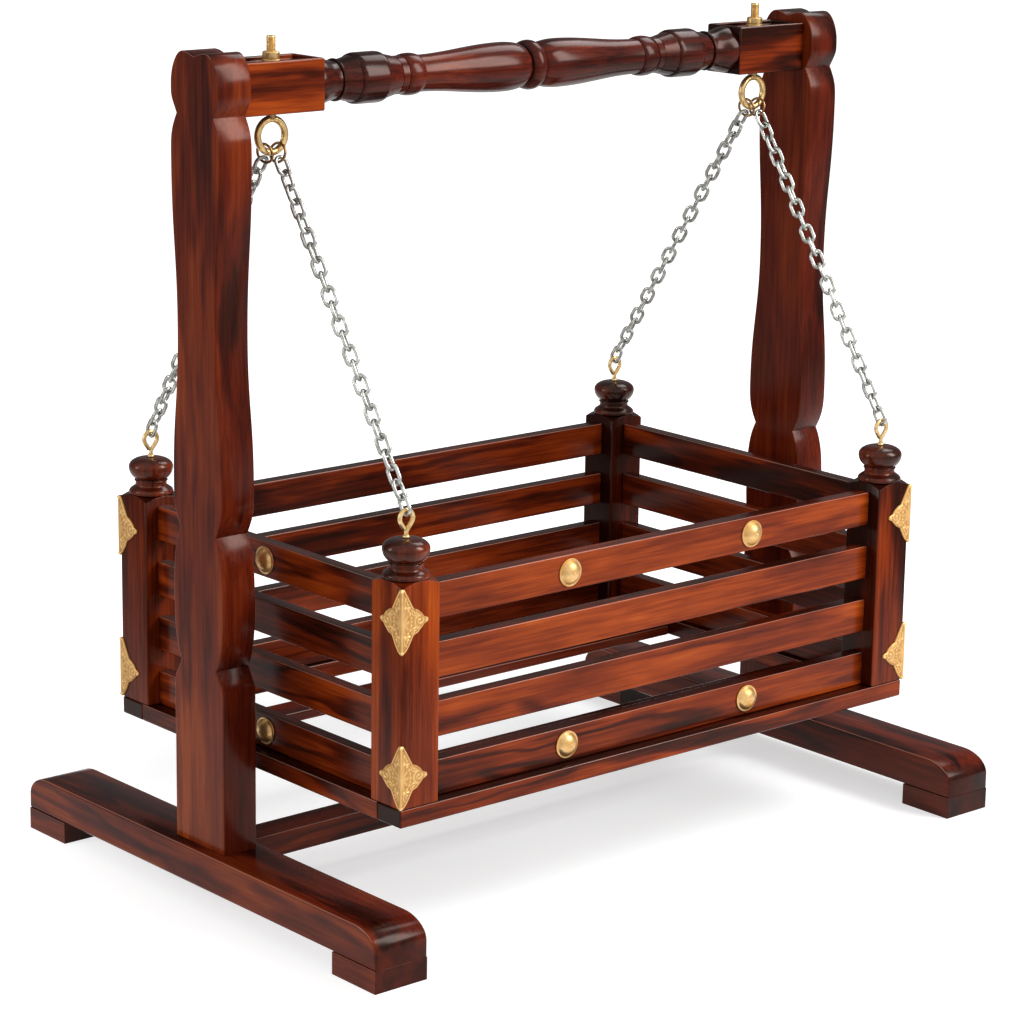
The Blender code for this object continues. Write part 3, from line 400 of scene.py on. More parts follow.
# Posts: thick planks sawn to a wavy outline, with a notched two-lobed head, three pinched waists and a
# straight plinth tenoned into the foot. Knots are (kind, half width, height over the foot).
POST_KNOTS = (
    ("corner", 0.0455, 0.0000), ("swell", 0.0455, 0.1760), ("waist", 0.0325, 0.2086),
    ("swell", 0.0455, 0.2837), ("waist", 0.0325, 0.3588), ("swell", 0.0447, 0.4120),
    ("swell", 0.0345, 0.5750), ("swell", 0.0435, 0.7650), ("waist", 0.0325, 0.8116),
    ("swell", 0.0425, 0.8430), ("lobe", 0.0210, 0.8780), ("corner", 0.0, 0.8735))
WAIST_OUT = 0.0112
WAIST_RISE = 0.0190
SWELL_SHARE = 0.45
LOBE_SHARE = 0.55
POST_LIFT = {"left": 0.10, "right": -0.10}
POST_ARRIS = 0.0013
POST_STEPS = 16
POST_CREASE = 25


def post_half():
    """Points up one side of the post: swells run along it, and sloping shoulders meet in a sharp waist."""
    handles = []
    for i, (kind, half, level) in enumerate(POST_KNOTS):
        below = POST_KNOTS[max(i - 1, 0)]
        above = POST_KNOTS[min(i + 1, len(POST_KNOTS) - 1)]
        if kind == "swell":
            ends = ((half, level - SWELL_SHARE * (level - below[2])),
                    (half, level + SWELL_SHARE * (above[2] - level)))
        elif kind == "waist":
            ends = [(half + WAIST_OUT, level + rise) for rise in (-WAIST_RISE, WAIST_RISE)]
        elif kind == "lobe":
            ends = ((half + LOBE_SHARE * (below[1] - half), level), (half / 2, level))
        else:
            ends = [(half + (knot[1] - half) / 3, level + (knot[2] - level) / 3) for knot in (below, above)]
        handles.append((Vector((half, level)), Vector(ends[0]), Vector(ends[1])))
    points = []
    for (start, _, leave), (end, arrive, _) in zip(handles, handles[1:]):
        for i in range(POST_STEPS):
            t = i / POST_STEPS
            points.append(start * (1 - t) ** 3 + leave * 3 * t * (1 - t) ** 2
                          + arrive * 3 * t ** 2 * (1 - t) + end * t ** 3)
    return points


half = post_half()
notch = Vector((0.0, POST_KNOTS[-1][2]))
whole = half + [notch] + [Vector((-p.x, p.y)) for p in reversed(half)]
for side in SIDES:
    # The last value is painted shade on the edges of the post.
    post_wood = lacquered_sheesham(f"dark_lacquered_sheesham_post_{side}", "Z", STAND_TONES, 2.30, 6.0,
                                   POST_LIFT[side], "X", 0.20)
    low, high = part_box(f"post_{side}")
    outline = [(p.x, low.z + p.y) for p in whole]
    mesh = sawn_plank(outline, low.x, high.x, POST_ARRIS, POST_CREASE)
    put(f"post_{side}_finished", mesh, post_wood, "stand", "dark_wood", f"post_{side}")


# Top rail: square stock turned between two end blocks that are left square, with a shallow pocket sunk in
# the top of each block for the nut. Redder wood than the stand under the same lacquer.
RAIL_BLOCK_LENGTH = 0.108
RAIL_POCKET_RIM = 0.006
RAIL_POCKET_DEPTH = 0.006
RAIL_GROOVE_RADIUS = 0.0213
RAIL_NICK = 0.0008
RAIL_TENON = 0.001
# Forms of the turning from the middle to the end, as (length, greatest radius).
MIDDLE_BEAD = (0.0210, 0.0284)
VASE_SHOULDER = (0.0300, 0.0280)
NECK_RADIUS = 0.0205
NECK_BEAD = (0.0230, 0.0235)
FILLET_LENGTH = 0.0085
BARREL_CONE = (0.0190, 0.0256)
BARREL_SHOULDER = (0.0075, 0.0283)
BARREL_LENGTH = 0.0255
END_BEAD = (0.0040, 0.0235)
END_FLARE = (0.0300, 0.0275)
BEAD_STEPS = 14
RAIL_STEPS = 56
RAIL_CREASE = 20
RAIL_TONES = ("#180604", "#2E0D08", "#561A0E", "#8A3414", "#B0501C")
RAIL_SHADE = ("X", 0.16, 0.24, 0.16)
RAIL_GLOSS = 0.19
BLOCK_LIFT = {"left": -0.08, "right": -0.40}
BOX_TONES = ("#260A04", "#4C1606", "#7C2C0C", "#A64514", "#C66624")


def loft(loops, closed=False, crease=35):
    """A skin over loops of equally many points. The ends are capped unless the last loop meets the first."""
    shape = bmesh.new()
    rings = [[shape.verts.new(place) for place in loop] for loop in loops]
    pairs = list(zip(rings, rings[1:]))
    if closed:
        pairs.append((rings[-1], rings[0]))
    for first, second in pairs:
        for i in range(len(first)):
            shape.faces.new((first[i - 1], first[i], second[i], second[i - 1]))
    if not closed:
        shape.faces.new(rings[0])
        shape.faces.new(rings[-1])
    mesh = finished(shape)
    mesh.shade_smooth()
    mesh.set_sharp_from_angle(angle=math.radians(crease))
    return mesh


def turned(profile, steps, closed=False, crease=35):
    """A turning round the Z axis from (height, radius) pairs."""
    angles = [2 * math.pi * i / steps for i in range(steps)]
    loops = [[Vector((radius * math.cos(a), radius * math.sin(a), level)) for a in angles]
             for level, radius in profile]
    return loft(loops, closed, crease)


def bead(length, edge, peak, steps=BEAD_STEPS):
    """A half round on a turning, as (distance along, radius) pairs."""
    angles = [math.pi * i / steps for i in range(steps + 1)]
    return [(length * (1 - math.cos(a)) / 2, edge + (peak - edge) * math.sin(a)) for a in angles]


def sweep(length, first, last, steps=16):
    """An easy curve on a turning from one radius to another."""
    shares = [i / steps for i in range(steps + 1)]
    return [(length * s, first + (last - first) * (1 - math.cos(math.pi * s)) / 2) for s in shares]


def quarter_round(length, first, last, steps=8):
    """A rounded shoulder on a turning, steep at the start and level at the end."""
    angles = [math.pi / 2 * i / steps for i in range(steps + 1)]
    return [(length * (1 - math.cos(a)), first + (last - first) * math.sin(a)) for a in angles]


def backwards(section):
    """A section of a turning run the other way."""
    return [(section[-1][0] - along, radius) for along, radius in reversed(section)]


def end_to_end(sections):
    """One run of (distance, radius) pairs from sections that follow each other."""
    points = []
    start = 0.0
    for section in sections:
        points += [(start + along, radius) for along, radius in section]
        start = points[-1][0]
    return [p for i, p in enumerate(points) if i == 0 or math.dist(p, points[i - 1]) > 1e-5]


def pocket_block(low, high):
    """A square block with a pocket sunk in its top, all its arrises rounded over."""
    middle = (low + high) / 2
    half = (high - low) / 2
    shape = bmesh.new()
    rings = []
    for rim, level in ((0.0, low.z), (0.0, high.z), (RAIL_POCKET_RIM, high.z),
                       (RAIL_POCKET_RIM, high.z - RAIL_POCKET_DEPTH)):
        x = half.x - rim
        y = half.y - rim
        corners = ((-x, -y), (x, -y), (x, y), (-x, y))
        rings.append([shape.verts.new((middle.x + a, middle.y + b, level)) for a, b in corners])
    for first, second in zip(rings, rings[1:]):
        for i in range(4):
            shape.faces.new((first[i - 1], first[i], second[i], second[i - 1]))
    shape.faces.new(rings[0])
    shape.faces.new(rings[-1])
    bmesh.ops.recalc_face_normals(shape, faces=shape.faces[:])
    round_over(shape, shape.edges[:], BOARD_ARRIS)
    return finished(shape)


rail_low, rail_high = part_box("top_rail")
turned_half = rail_high.x - RAIL_BLOCK_LENGTH
groove = [(0.0, RAIL_GROOVE_RADIUS - RAIL_NICK), (RAIL_NICK, RAIL_GROOVE_RADIUS - RAIL_NICK)]
cone = [(0.0, RAIL_GROOVE_RADIUS), BARREL_CONE]
shoulder = quarter_round(BARREL_SHOULDER[0], BARREL_CONE[1], BARREL_SHOULDER[1])
inner = [bead(MIDDLE_BEAD[0], RAIL_GROOVE_RADIUS, MIDDLE_BEAD[1])[BEAD_STEPS // 2:], groove]
outer = [groove, bead(NECK_BEAD[0], NECK_RADIUS, NECK_BEAD[1]), groove,
         [(0.0, RAIL_GROOVE_RADIUS), (FILLET_LENGTH, RAIL_GROOVE_RADIUS)], groove, cone, shoulder,
         [(0.0, BARREL_SHOULDER[1]), (BARREL_LENGTH, BARREL_SHOULDER[1])], backwards(shoulder),
         backwards(cone), groove, bead(END_BEAD[0], RAIL_GROOVE_RADIUS, END_BEAD[1], 8), groove,
         sweep(END_FLARE[0], RAIL_GROOVE_RADIUS, END_FLARE[1])]
first_x = MIDDLE_BEAD[0] / 2
vase_length = turned_half - (end_to_end(inner)[-1][0] - first_x) - end_to_end(outer)[-1][0]
vase = [quarter_round(VASE_SHOULDER[0], RAIL_GROOVE_RADIUS, VASE_SHOULDER[1]),
        sweep(vase_length - VASE_SHOULDER[0], VASE_SHOULDER[1], NECK_RADIUS)]
half_rail = [(x - first_x, radius) for x, radius in end_to_end([*inner, *vase, *outer])]
half_rail.append((half_rail[-1][0] + RAIL_TENON, half_rail[-1][1]))
whole_rail = [(-x, radius) for x, radius in reversed(half_rail[1:])] + half_rail
rail_wood = lacquered_sheesham("red_lacquered_sheesham_turned", "X", RAIL_TONES, 0.20, 7.0, -0.26,
                               shade=RAIL_SHADE, gloss=RAIL_GLOSS)
mesh = turned(whole_rail, RAIL_STEPS, False, RAIL_CREASE)
mesh.transform(Matrix.Translation((rail_low + rail_high) / 2) @ Matrix.Rotation(math.pi / 2, 4, "Y"))
put("rail_turning", mesh, rail_wood, "stand", "red_wood", "top_rail")
for side, sign in SIDES.items():
    # The last value is painted shade on the edges of the block.
    block_wood = lacquered_sheesham(f"lacquered_sheesham_block_{side}", "X", BOX_TONES, 0.75, 6.0,
                                    BLOCK_LIFT[side], "Y", 0.25)
    ends = sorted((sign * turned_half, sign * rail_high.x))
    mesh = pocket_block(Vector((ends[0], *rail_low.yz)), Vector((ends[1], *rail_high.yz)))
    put(f"rail_block_{side}", mesh, block_wood, "stand", "red_wood")


# Eye bolts: forged brass eyes on threaded shanks that pass up through the rail blocks. The brass is dulled
# by handling, mottled and a little rough.
EYE_RADIUS = 0.0181
EYE_WIRE_RADIUS = 0.0039
EYE_STEPS = 64
WIRE_STEPS = 16
WIRE_CREASE = 50
BOLT_RADIUS = 0.005
BOLT_STEPS = 24
BOLT_END = 0.001
# Neck of the shank, as (share of its radius, height over the wire of the eye).
BOLT_NECK = ((0.7, -0.001), (1.2, 0.001), (1.0, 0.004))
THREAD_PITCH = 0.0015
THREAD_DEPTH = 0.0006
THREAD_FORM = ((THREAD_DEPTH, 0.35), (0.0, 0.75), (0.0, 1.0))
TARNISH_SPAN = (0.38, 0.68)
TARNISH_ROUGHNESS = 0.18
DENT_BUMP = 0.15
DENT_DEPTH = 0.0002


def worn_metal(name, bright, dull, roughness, mottle, metallic=1.0):
    """Metal with a mottled tarnish of a given size: duller and rougher where the tarnish is thicker."""
    material, tree = empty_material(name)
    place = add(tree, "ShaderNodeTexCoord").outputs["Object"]
    spots = add(tree, "ShaderNodeTexNoise", Vector=place, Scale=1 / mottle, Detail=4.0, Roughness=0.6)
    amount = add(tree, "ShaderNodeMapRange", spots, *TARNISH_SPAN)
    colour = add(tree, "ShaderNodeMix", amount, sockets={6: srgb(bright), 7: srgb(dull)}, data_type="RGBA")
    rough = add(tree, "ShaderNodeMath", amount, TARNISH_ROUGHNESS, roughness, operation="MULTIPLY_ADD")
    dents = add(tree, "ShaderNodeBump", Strength=DENT_BUMP, Distance=DENT_DEPTH, Height=spots)
    metal = add(tree, "ShaderNodeBsdfPrincipled", Base_Color=colour.outputs[2], Metallic=metallic,
                Roughness=rough, Normal=dents)
    add(tree, "ShaderNodeOutputMaterial", metal)
    return material


def bent_wire(path, radius, closed):
    """Round wire swept along a path, turned as little as it can be on the way."""
    count = len(path)
    angles = [2 * math.pi * k / WIRE_STEPS for k in range(WIRE_STEPS)]
    loops = []
    across = None
    for i, place in enumerate(path):
        before = path[i - 1] if closed or i > 0 else place
        after = path[(i + 1) % count] if closed or i < count - 1 else place
        along = (after - before).normalized()
        if across is None:
            across = along.orthogonal()
        across = (across - along * across.dot(along)).normalized()
        other = along.cross(across)
        loops.append([place + across * radius * math.cos(a) + other * radius * math.sin(a) for a in angles])
    return loft(loops, closed, WIRE_CREASE)


# Aged brass: a soft yellow with tan patches and a blurred shine.
aged_brass = worn_metal("aged_brass", "#E8C68A", "#C09A60", 0.27, 0.006, 0.9)
for side in SIDES:
    low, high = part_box(f"eye_bolt_{side}")
    x = (low.x + high.x) / 2
    eye_level = low.z + EYE_WIRE_RADIUS + EYE_RADIUS
    ring = [Vector((x + EYE_RADIUS * math.cos(a), 0.0, eye_level + EYE_RADIUS * math.sin(a)))
            for a in (2 * math.pi * i / EYE_STEPS for i in range(EYE_STEPS))]
    mesh = bent_wire(ring, EYE_WIRE_RADIUS, True)
    put(f"bolt_eye_{side}", mesh, aged_brass, "stand", "brass", f"eye_bolt_{side}")
    neck = eye_level + EYE_RADIUS
    thread_start = rail_high.z - RAIL_POCKET_DEPTH
    profile = [(neck + rise, BOLT_RADIUS * share) for share, rise in BOLT_NECK]
    profile.append((thread_start, BOLT_RADIUS))
    for i in range(int((high.z - thread_start - BOLT_END) / THREAD_PITCH)):
        level = thread_start + i * THREAD_PITCH
        profile += [(level + THREAD_PITCH * share, BOLT_RADIUS - depth) for depth, share in THREAD_FORM]
    profile.append((high.z, BOLT_RADIUS - THREAD_DEPTH))
    mesh = turned(profile, BOLT_STEPS)
    mesh.transform(Matrix.Translation((x, 0.0, 0.0)))
    put(f"bolt_shank_{side}", mesh, aged_brass, "stand", "brass")


# Nuts: a round brass nut on a thick flange in each pocket, both turned with a chamfer and drawn up on the
# shank.
FLANGE_HEIGHT = 0.0050
NUT_RADIUS = 0.0094
NUT_BORE = BOLT_RADIUS + 0.0001
NUT_CHAMFER = 0.0011
NUT_STEPS = 40


def chamfered_ring(radius, bottom, top):
    """A turned ring on the bolt with a chamfer on both outer edges."""
    inset = radius - NUT_CHAMFER
    section = [(bottom, NUT_BORE), (bottom, inset), (bottom + NUT_CHAMFER, radius),
               (top - NUT_CHAMFER, radius), (top, inset), (top, NUT_BORE)]
    return turned(section, NUT_STEPS, True)


for side in SIDES:
    low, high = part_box(f"flange_nut_{side}")
    seat = low.z + FLANGE_HEIGHT
    for name, radius, bottom, top, nodes in (
            (f"nut_flange_{side}", (high.x - low.x) / 2, low.z, seat, [f"flange_nut_{side}"]),
            (f"nut_{side}", NUT_RADIUS, seat, high.z, [])):
        mesh = chamfered_ring(radius, bottom, top)
        mesh.transform(Matrix.Translation(((low.x + high.x) / 2, 0.0, 0.0)))
        put(name, mesh, aged_brass, "stand", "brass", *nodes)


# Jump rings: dark bronze wire bent to a ring with a butted joint, two side by side on each eye. Each holds
# one chain.
JUMP_RING_RADIUS = 0.0104
JUMP_RING_WIRE_RADIUS = 0.0015
JUMP_RING_OFFSET = 0.0075
JUMP_RING_TURN = math.radians(17)
JUMP_RING_JOINT = math.radians(150)
JUMP_RING_GAP = math.radians(5)
JUMP_RING_PLAY = 0.00265
FINIAL_EYE_RADIUS = 0.0088
FINIAL_EYE_RISE = 0.0215
ALONG_X = Vector((1.0, 0.0, 0.0))


def hang_line(side, face):
    """Where a chain's pull leaves the bolt's eye, where it ends on the wire of the screw eye, and its way."""
    bolt_low, bolt_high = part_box(f"eye_bolt_{side}")
    post_low, post_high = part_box(f"corner_post_{side}_{face}")
    x = (bolt_low.x + bolt_high.x) / 2
    eye_level = bolt_low.z + EYE_WIRE_RADIUS + EYE_RADIUS
    ring_drop = math.sqrt(EYE_RADIUS ** 2 - JUMP_RING_OFFSET ** 2)
    start = Vector((x - FACES[face] * JUMP_RING_OFFSET, 0.0, eye_level - ring_drop))
    end = Vector((x, (post_low.y + post_high.y) / 2, post_high.z + FINIAL_EYE_RISE + FINIAL_EYE_RADIUS))
    return start, end, (start - end).normalized()


# Dark bronze: a warm brown, darker in patches, with a soft sheen on the bends.
dark_bronze = worn_metal("dark_bronze", "#A9855A", "#6E5236", 0.30, 0.005)
for side, face in CORNERS:
    start, end, pull = hang_line(side, face)
    middle = start - pull * JUMP_RING_PLAY
    level_y = Matrix.Rotation(JUMP_RING_TURN, 3, pull) @ pull.cross(ALONG_X).normalized()
    path = []
    for i in range(EYE_STEPS):
        angle = JUMP_RING_JOINT + JUMP_RING_GAP / 2 + (2 * math.pi - JUMP_RING_GAP) * i / (EYE_STEPS - 1)
        path.append(middle + (pull * math.sin(angle) + level_y * math.cos(angle)) * JUMP_RING_RADIUS)
    name = f"jump_ring_{side}_{face}"
    mesh = bent_wire(path, JUMP_RING_WIRE_RADIUS, False)
    put(f"{name}_finished", mesh, dark_bronze, "swing_links", "bronze", name)


# Chains: welded oval links of zinc-plated steel wire, 24 to a chain, each turned a quarter from the last.
# They hang tight between the jump rings and the screw eyes, with a slow twist along the chain.
LINK_COUNT = 24
LINK_WIRE_RADIUS = 0.0022
LINK_WIDTH = 0.0130
LINK_END_SHARE = 0.499
LINK_BEND_STEPS = 7
LINK_WIRE_STEPS = 10
LINK_SEAT = 0.00555
LINK_PLAY = 0.0005
LINK_SLACK = 0.12
LINK_SEED = 5
CHAIN_TWIST = math.radians(42)
FINIAL_EYE_WIRE_RADIUS = 0.0025


def piece_tree(name, inputs):
    """An empty node tree for a piece that repeats, and the values of its named inputs."""
    tree = bpy.data.node_groups.new(name, "GeometryNodeTree")
    for label, kind in inputs.items():
        tree.interface.new_socket(name=label, in_out="INPUT", socket_type=f"NodeSocket{kind}")
    tree.interface.new_socket(name="Geometry", in_out="OUTPUT", socket_type="NodeSocketGeometry")
    return tree, add(tree, "NodeGroupInput").outputs


def end_tree(tree, instances, material):
    """The same tree with its pieces made real and given their material."""
    real = add(tree, "GeometryNodeRealizeInstances", Geometry=instances)
    coated = add(tree, "GeometryNodeSetMaterial", Geometry=real, Material=material)
    add(tree, "NodeGroupOutput", Geometry=coated)
    return tree


def grown(tree, values):
    """A plain mesh grown by a node tree from named inputs."""
    source = bpy.data.objects.new("grown", bpy.data.meshes.new("grown"))
    scene.collection.objects.link(source)
    modifier = source.modifiers.new("grown", "NODES")
    modifier.node_group = tree
    for item in tree.interface.items_tree:
        if item.in_out == "INPUT":
            modifier[item.identifier] = values[item.name]
    bpy.context.view_layer.update()
    depsgraph = bpy.context.evaluated_depsgraph_get()
    mesh = bpy.data.meshes.new_from_object(source.evaluated_get(depsgraph))
    bpy.data.objects.remove(source, do_unlink=True)
    return mesh


def chain_tree():
    """Oval links of round wire on a line, every second one turned a quarter, none quite straight."""
    tree, given = piece_tree("oval_link_chain", {
        "Count": "Int", "Pitch": "Float", "Length": "Float", "Width": "Float", "Wire Radius": "Float",
        "Twist": "Float", "Material": "Material"})
    end_radius = add(tree, "ShaderNodeMath", given["Width"], LINK_END_SHARE, operation="MULTIPLY")
    oval = add(tree, "GeometryNodeCurvePrimitiveQuadrilateral", Width=given["Width"], Height=given["Length"])
    bend = add(tree, "GeometryNodeFilletCurve", Curve=oval, Radius=end_radius, Count=LINK_BEND_STEPS,
               mode="POLY")
    wire = add(tree, "GeometryNodeCurvePrimitiveCircle", Radius=given["Wire Radius"],
               Resolution=LINK_WIRE_STEPS)
    link = add(tree, "GeometryNodeCurveToMesh", Curve=bend, Profile_Curve=wire)
    smooth = add(tree, "GeometryNodeSetShadeSmooth", Geometry=link)
    stood = add(tree, "GeometryNodeTransform", Geometry=smooth, Rotation=(math.pi / 2, 0.0, 0.0))
    step = add(tree, "ShaderNodeCombineXYZ", Z=given["Pitch"])
    middle = add(tree, "ShaderNodeMath", given["Length"], 0.5, operation="MULTIPLY")
    start = add(tree, "ShaderNodeCombineXYZ", Z=middle)
    line = add(tree, "GeometryNodeMeshLine", Count=given["Count"], Start_Location=start, Offset=step)
    index = add(tree, "GeometryNodeInputIndex")
    parity = add(tree, "ShaderNodeMath", index, 2.0, operation="MODULO")
    quarter = add(tree, "ShaderNodeMath", parity, -math.pi / 2, math.pi / 2, operation="MULTIPLY_ADD")
    last = add(tree, "ShaderNodeMath", given["Count"], 1.0, operation="SUBTRACT")
    share = add(tree, "ShaderNodeMath", index, last, operation="DIVIDE")
    arc = add(tree, "ShaderNodeMath", share, math.pi, operation="MULTIPLY")
    swell = add(tree, "ShaderNodeMath", arc, operation="SINE")
    twisted = add(tree, "ShaderNodeMath", swell, given["Twist"], quarter, operation="MULTIPLY_ADD")
    slack = add(tree, "FunctionNodeRandomValue", sockets={2: -LINK_SLACK, 3: LINK_SLACK}, data_type="FLOAT",
                Seed=LINK_SEED)
    turn = add(tree, "ShaderNodeMath", twisted, slack.outputs[1], operation="ADD")
    spin = add(tree, "ShaderNodeCombineXYZ", Z=turn)
    links = add(tree, "GeometryNodeInstanceOnPoints", Points=line, Instance=stood, Rotation=spin)
    return end_tree(tree, links, given["Material"])


# Zinc plate: a pale grey clouded with a darker one, and a satin shine.
zinc_plate = worn_metal("zinc_plated_steel", "#CFCFCA", "#989892", 0.24, 0.008)
link_nodes = chain_tree()
for side, face in CORNERS:
    start, end, pull = hang_line(side, face)
    top = start - pull * (JUMP_RING_PLAY + LINK_SEAT)
    bottom = end - pull * (FINIAL_EYE_WIRE_RADIUS + LINK_WIRE_RADIUS + LINK_PLAY)
    pitch = ((top - bottom).length - 2 * LINK_WIRE_RADIUS) / LINK_COUNT
    mesh = grown(link_nodes, {
        "Count": LINK_COUNT, "Pitch": pitch, "Length": pitch + 2 * LINK_WIRE_RADIUS, "Width": LINK_WIDTH,
        "Wire Radius": LINK_WIRE_RADIUS, "Twist": CHAIN_TWIST, "Material": zinc_plate})
    across = (ALONG_X - pull * pull.x).normalized()
    leaning = Matrix((across, pull.cross(across), pull)).transposed().to_4x4()
    mesh.transform(Matrix.Translation(bottom) @ leaning)
    put(f"chain_{side}_{face}_links", mesh, zinc_plate, f"{side}_chains", "zinc", f"chain_{side}_{face}")


# Corner posts: square sheesham stock whose top is turned to a squat vase finial, one piece with the post.
# The square ends in a low pommel under the turning, and the finial has a little more gloss.
CORNER_SIDE_ANGLES = [math.radians(a) for a in range(-40, 41, 5)]
CORNER_ARRIS = 0.0020
CORNER_ARC_STEPS = 5
CORNER_CREASE = 32
# The left back post is lifted darker as painted shade of the left post, and the right front post partly as a
# darker tone and partly as painted shade of its slats.
CORNER_LIFT = {"left_front": -0.02, "right_front": -0.32, "left_back": -0.32, "right_back": -0.30}
# Painted shade on the sides of the right-hand posts.
CORNER_EDGE_SHADE = {"left": 0.0, "right": 0.30}
# Loops of the square part, as (share of its plan, height over its foot or over the pommel).
CORNER_FOOT = ((0.96, 0.0), (1.0, 0.6 * CORNER_ARRIS))
CORNER_POMMEL = ((1.0, -0.0010), (0.988, -0.0003), (0.97, 0.0))
POMMEL_DROP = 0.0055
FINIAL_SEAT = 0.020
FINIAL_STEPS = 56
FINIAL_GLOSS = 0.34
BULB_RISE = 0.0140
BULB_FALL = 0.0105
BULB_RADIUS = 0.0257
BULB_FOOT = 0.0174
BULB_TOP = 0.0085
BULB_SWELL = 0.7
# The finial from its foot up, as (height over the last form, radius): a ring, a cove, a neck with a bead and
# a groove, the bulb, and the dimple of the screw eye.
FINIAL_FORMS = (
    [(0.0, 0.0250), (0.0006, 0.0257), (0.0025, 0.0257), (0.0030, 0.0252)], sweep(0.0075, 0.0252, 0.0180),
    [(0.0, 0.0180), (0.0035, 0.0180)], bead(0.0020, 0.0183, 0.0193, 6), [(0.0, 0.0176), (0.0010, 0.0176)],
    [(BULB_RISE * s, BULB_FOOT + (BULB_RADIUS - BULB_FOOT) * math.sin(math.pi / 2 * s ** BULB_SWELL))
     for s in (i / 12 for i in range(13))],
    [(BULB_FALL * math.sin(a), BULB_TOP + (BULB_RADIUS - BULB_TOP) * math.cos(a))
     for a in (math.pi / 2 * i / 10 for i in range(11))],
    [(0.0, 0.0050)])


def square_section(half):
    """Plan of square stock with rounded arrises, with points on the flats at even angles."""
    corner = Vector((half - CORNER_ARRIS, half - CORNER_ARRIS))
    points = []
    for quarter in range(4):
        turn = Matrix.Rotation(quarter * math.pi / 2, 2)
        points += [turn @ Vector((half, half * math.tan(a))) for a in CORNER_SIDE_ANGLES]
        for i in range(CORNER_ARC_STEPS + 1):
            angle = math.pi / 2 * i / CORNER_ARC_STEPS
            points.append(turn @ (corner + CORNER_ARRIS * Vector((math.cos(angle), math.sin(angle)))))
    return points


finial_curve = end_to_end(FINIAL_FORMS)
finial_wood = lacquered_sheesham("turned_lacquered_sheesham", "Z", BOX_TONES, 3.70, 4.0, -0.26,
                                 gloss=FINIAL_GLOSS)
for side, face in CORNERS:
    name = f"corner_post_{side}_{face}"
    low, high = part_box(name)
    middle = Matrix.Translation(((low.x + high.x) / 2, (low.y + high.y) / 2, 0.0))
    flat = (high.x - low.x) / 2
    plan = square_section(flat)
    shoulder = high.z - finial_curve[-1][0]
    corner_reach = flat * math.sqrt(2) - flat
    pommel = [shoulder - POMMEL_DROP * min(1.0, max(0.0, (p.length - flat) / corner_reach)) for p in plan]
    loops = [[Vector((*(p * share), low.z + rise)) for p in plan] for share, rise in CORNER_FOOT]
    loops += [[Vector((*(p * share), z + rise)) for p, z in zip(plan, pommel)]
              for share, rise in CORNER_POMMEL]
    loops.append([Vector((*(p.normalized() * FINIAL_SEAT), shoulder)) for p in plan])
    mesh = loft(loops, False, CORNER_CREASE)
    mesh.transform(middle)
    post_wood = lacquered_sheesham(f"red_lacquered_sheesham_post_{side}_{face}", "Z", BOX_TONES, 3.70, 4.5,
                                   CORNER_LIFT[f"{side}_{face}"], "Y", CORNER_EDGE_SHADE[side])
    put(f"{name}_finished", mesh, post_wood, "cradle_box", "red_wood", name)
    finial = [(shoulder + along, radius) for along, radius in finial_curve]
    mesh = turned(finial, FINIAL_STEPS, False, CORNER_CREASE)
    mesh.transform(middle)
    put(f"finial_{side}_{face}", mesh, finial_wood, "cradle_box", "red_wood")


# Slats: planed boards between the corner posts, four to a side, let into the posts and set back from their
# outer faces. A painted pale highlight runs along their upper arrises, and the lowest boards are darker.
SLAT_ROWS = 4
LOW_BOARD_SHADE = 0.20
# Wood of each wall: its name, grain, shift, growth layers, lift of the tone, broad faces and painted shade on
# the edges.
# The back and right walls are lifted darker than the front and left as painted shade of the inside of the
# box.
WALL_WOOD = {"front": ("red_lacquered_sheesham_along_x", "X", 0.20, 7.5, 0.01, "Y", 0.40),
             "back": ("dark_red_lacquered_sheesham_along_x", "X", 1.90, 7.0, -0.27, "Y", 0.30),
             "left": ("red_lacquered_sheesham_along_y", "Y", 5.10, 9.0, -0.17, "X", 0.35),
             "right": ("dark_red_lacquered_sheesham_along_y", "Y", 4.20, 6.0, -0.28, "X", 0.25)}


def wall_tree():
    """One piece repeated in columns and rows on a wall of the box."""
    tree, given = piece_tree("repeated_on_wall", {
        "Piece": "Object", "Columns": "Int", "Column Step": "Vector", "Rows": "Int", "Row Step": "Vector",
        "Material": "Material"})
    piece = add(tree, "GeometryNodeObjectInfo", given["Piece"]).outputs["Geometry"]
    columns = add(tree, "GeometryNodeMeshLine", Count=given["Columns"], Offset=given["Column Step"])
    row = add(tree, "GeometryNodeInstanceOnPoints", Points=columns, Instance=piece)
    rows = add(tree, "GeometryNodeMeshLine", Count=given["Rows"], Offset=given["Row Step"])
    wall = add(tree, "GeometryNodeInstanceOnPoints", Points=rows, Instance=row)
    return end_tree(tree, wall, given["Material"])


def repeated(piece, columns, column_step, rows, row_step, material):
    """The mesh of one piece, repeated in columns and rows."""
    pattern = bpy.data.objects.new("pattern", piece)
    scene.collection.objects.link(pattern)
    mesh = grown(wall_nodes, {"Piece": pattern, "Columns": columns, "Column Step": column_step, "Rows": rows,
                              "Row Step": row_step, "Material": material})
    bpy.data.objects.remove(pattern, do_unlink=True)
    return mesh


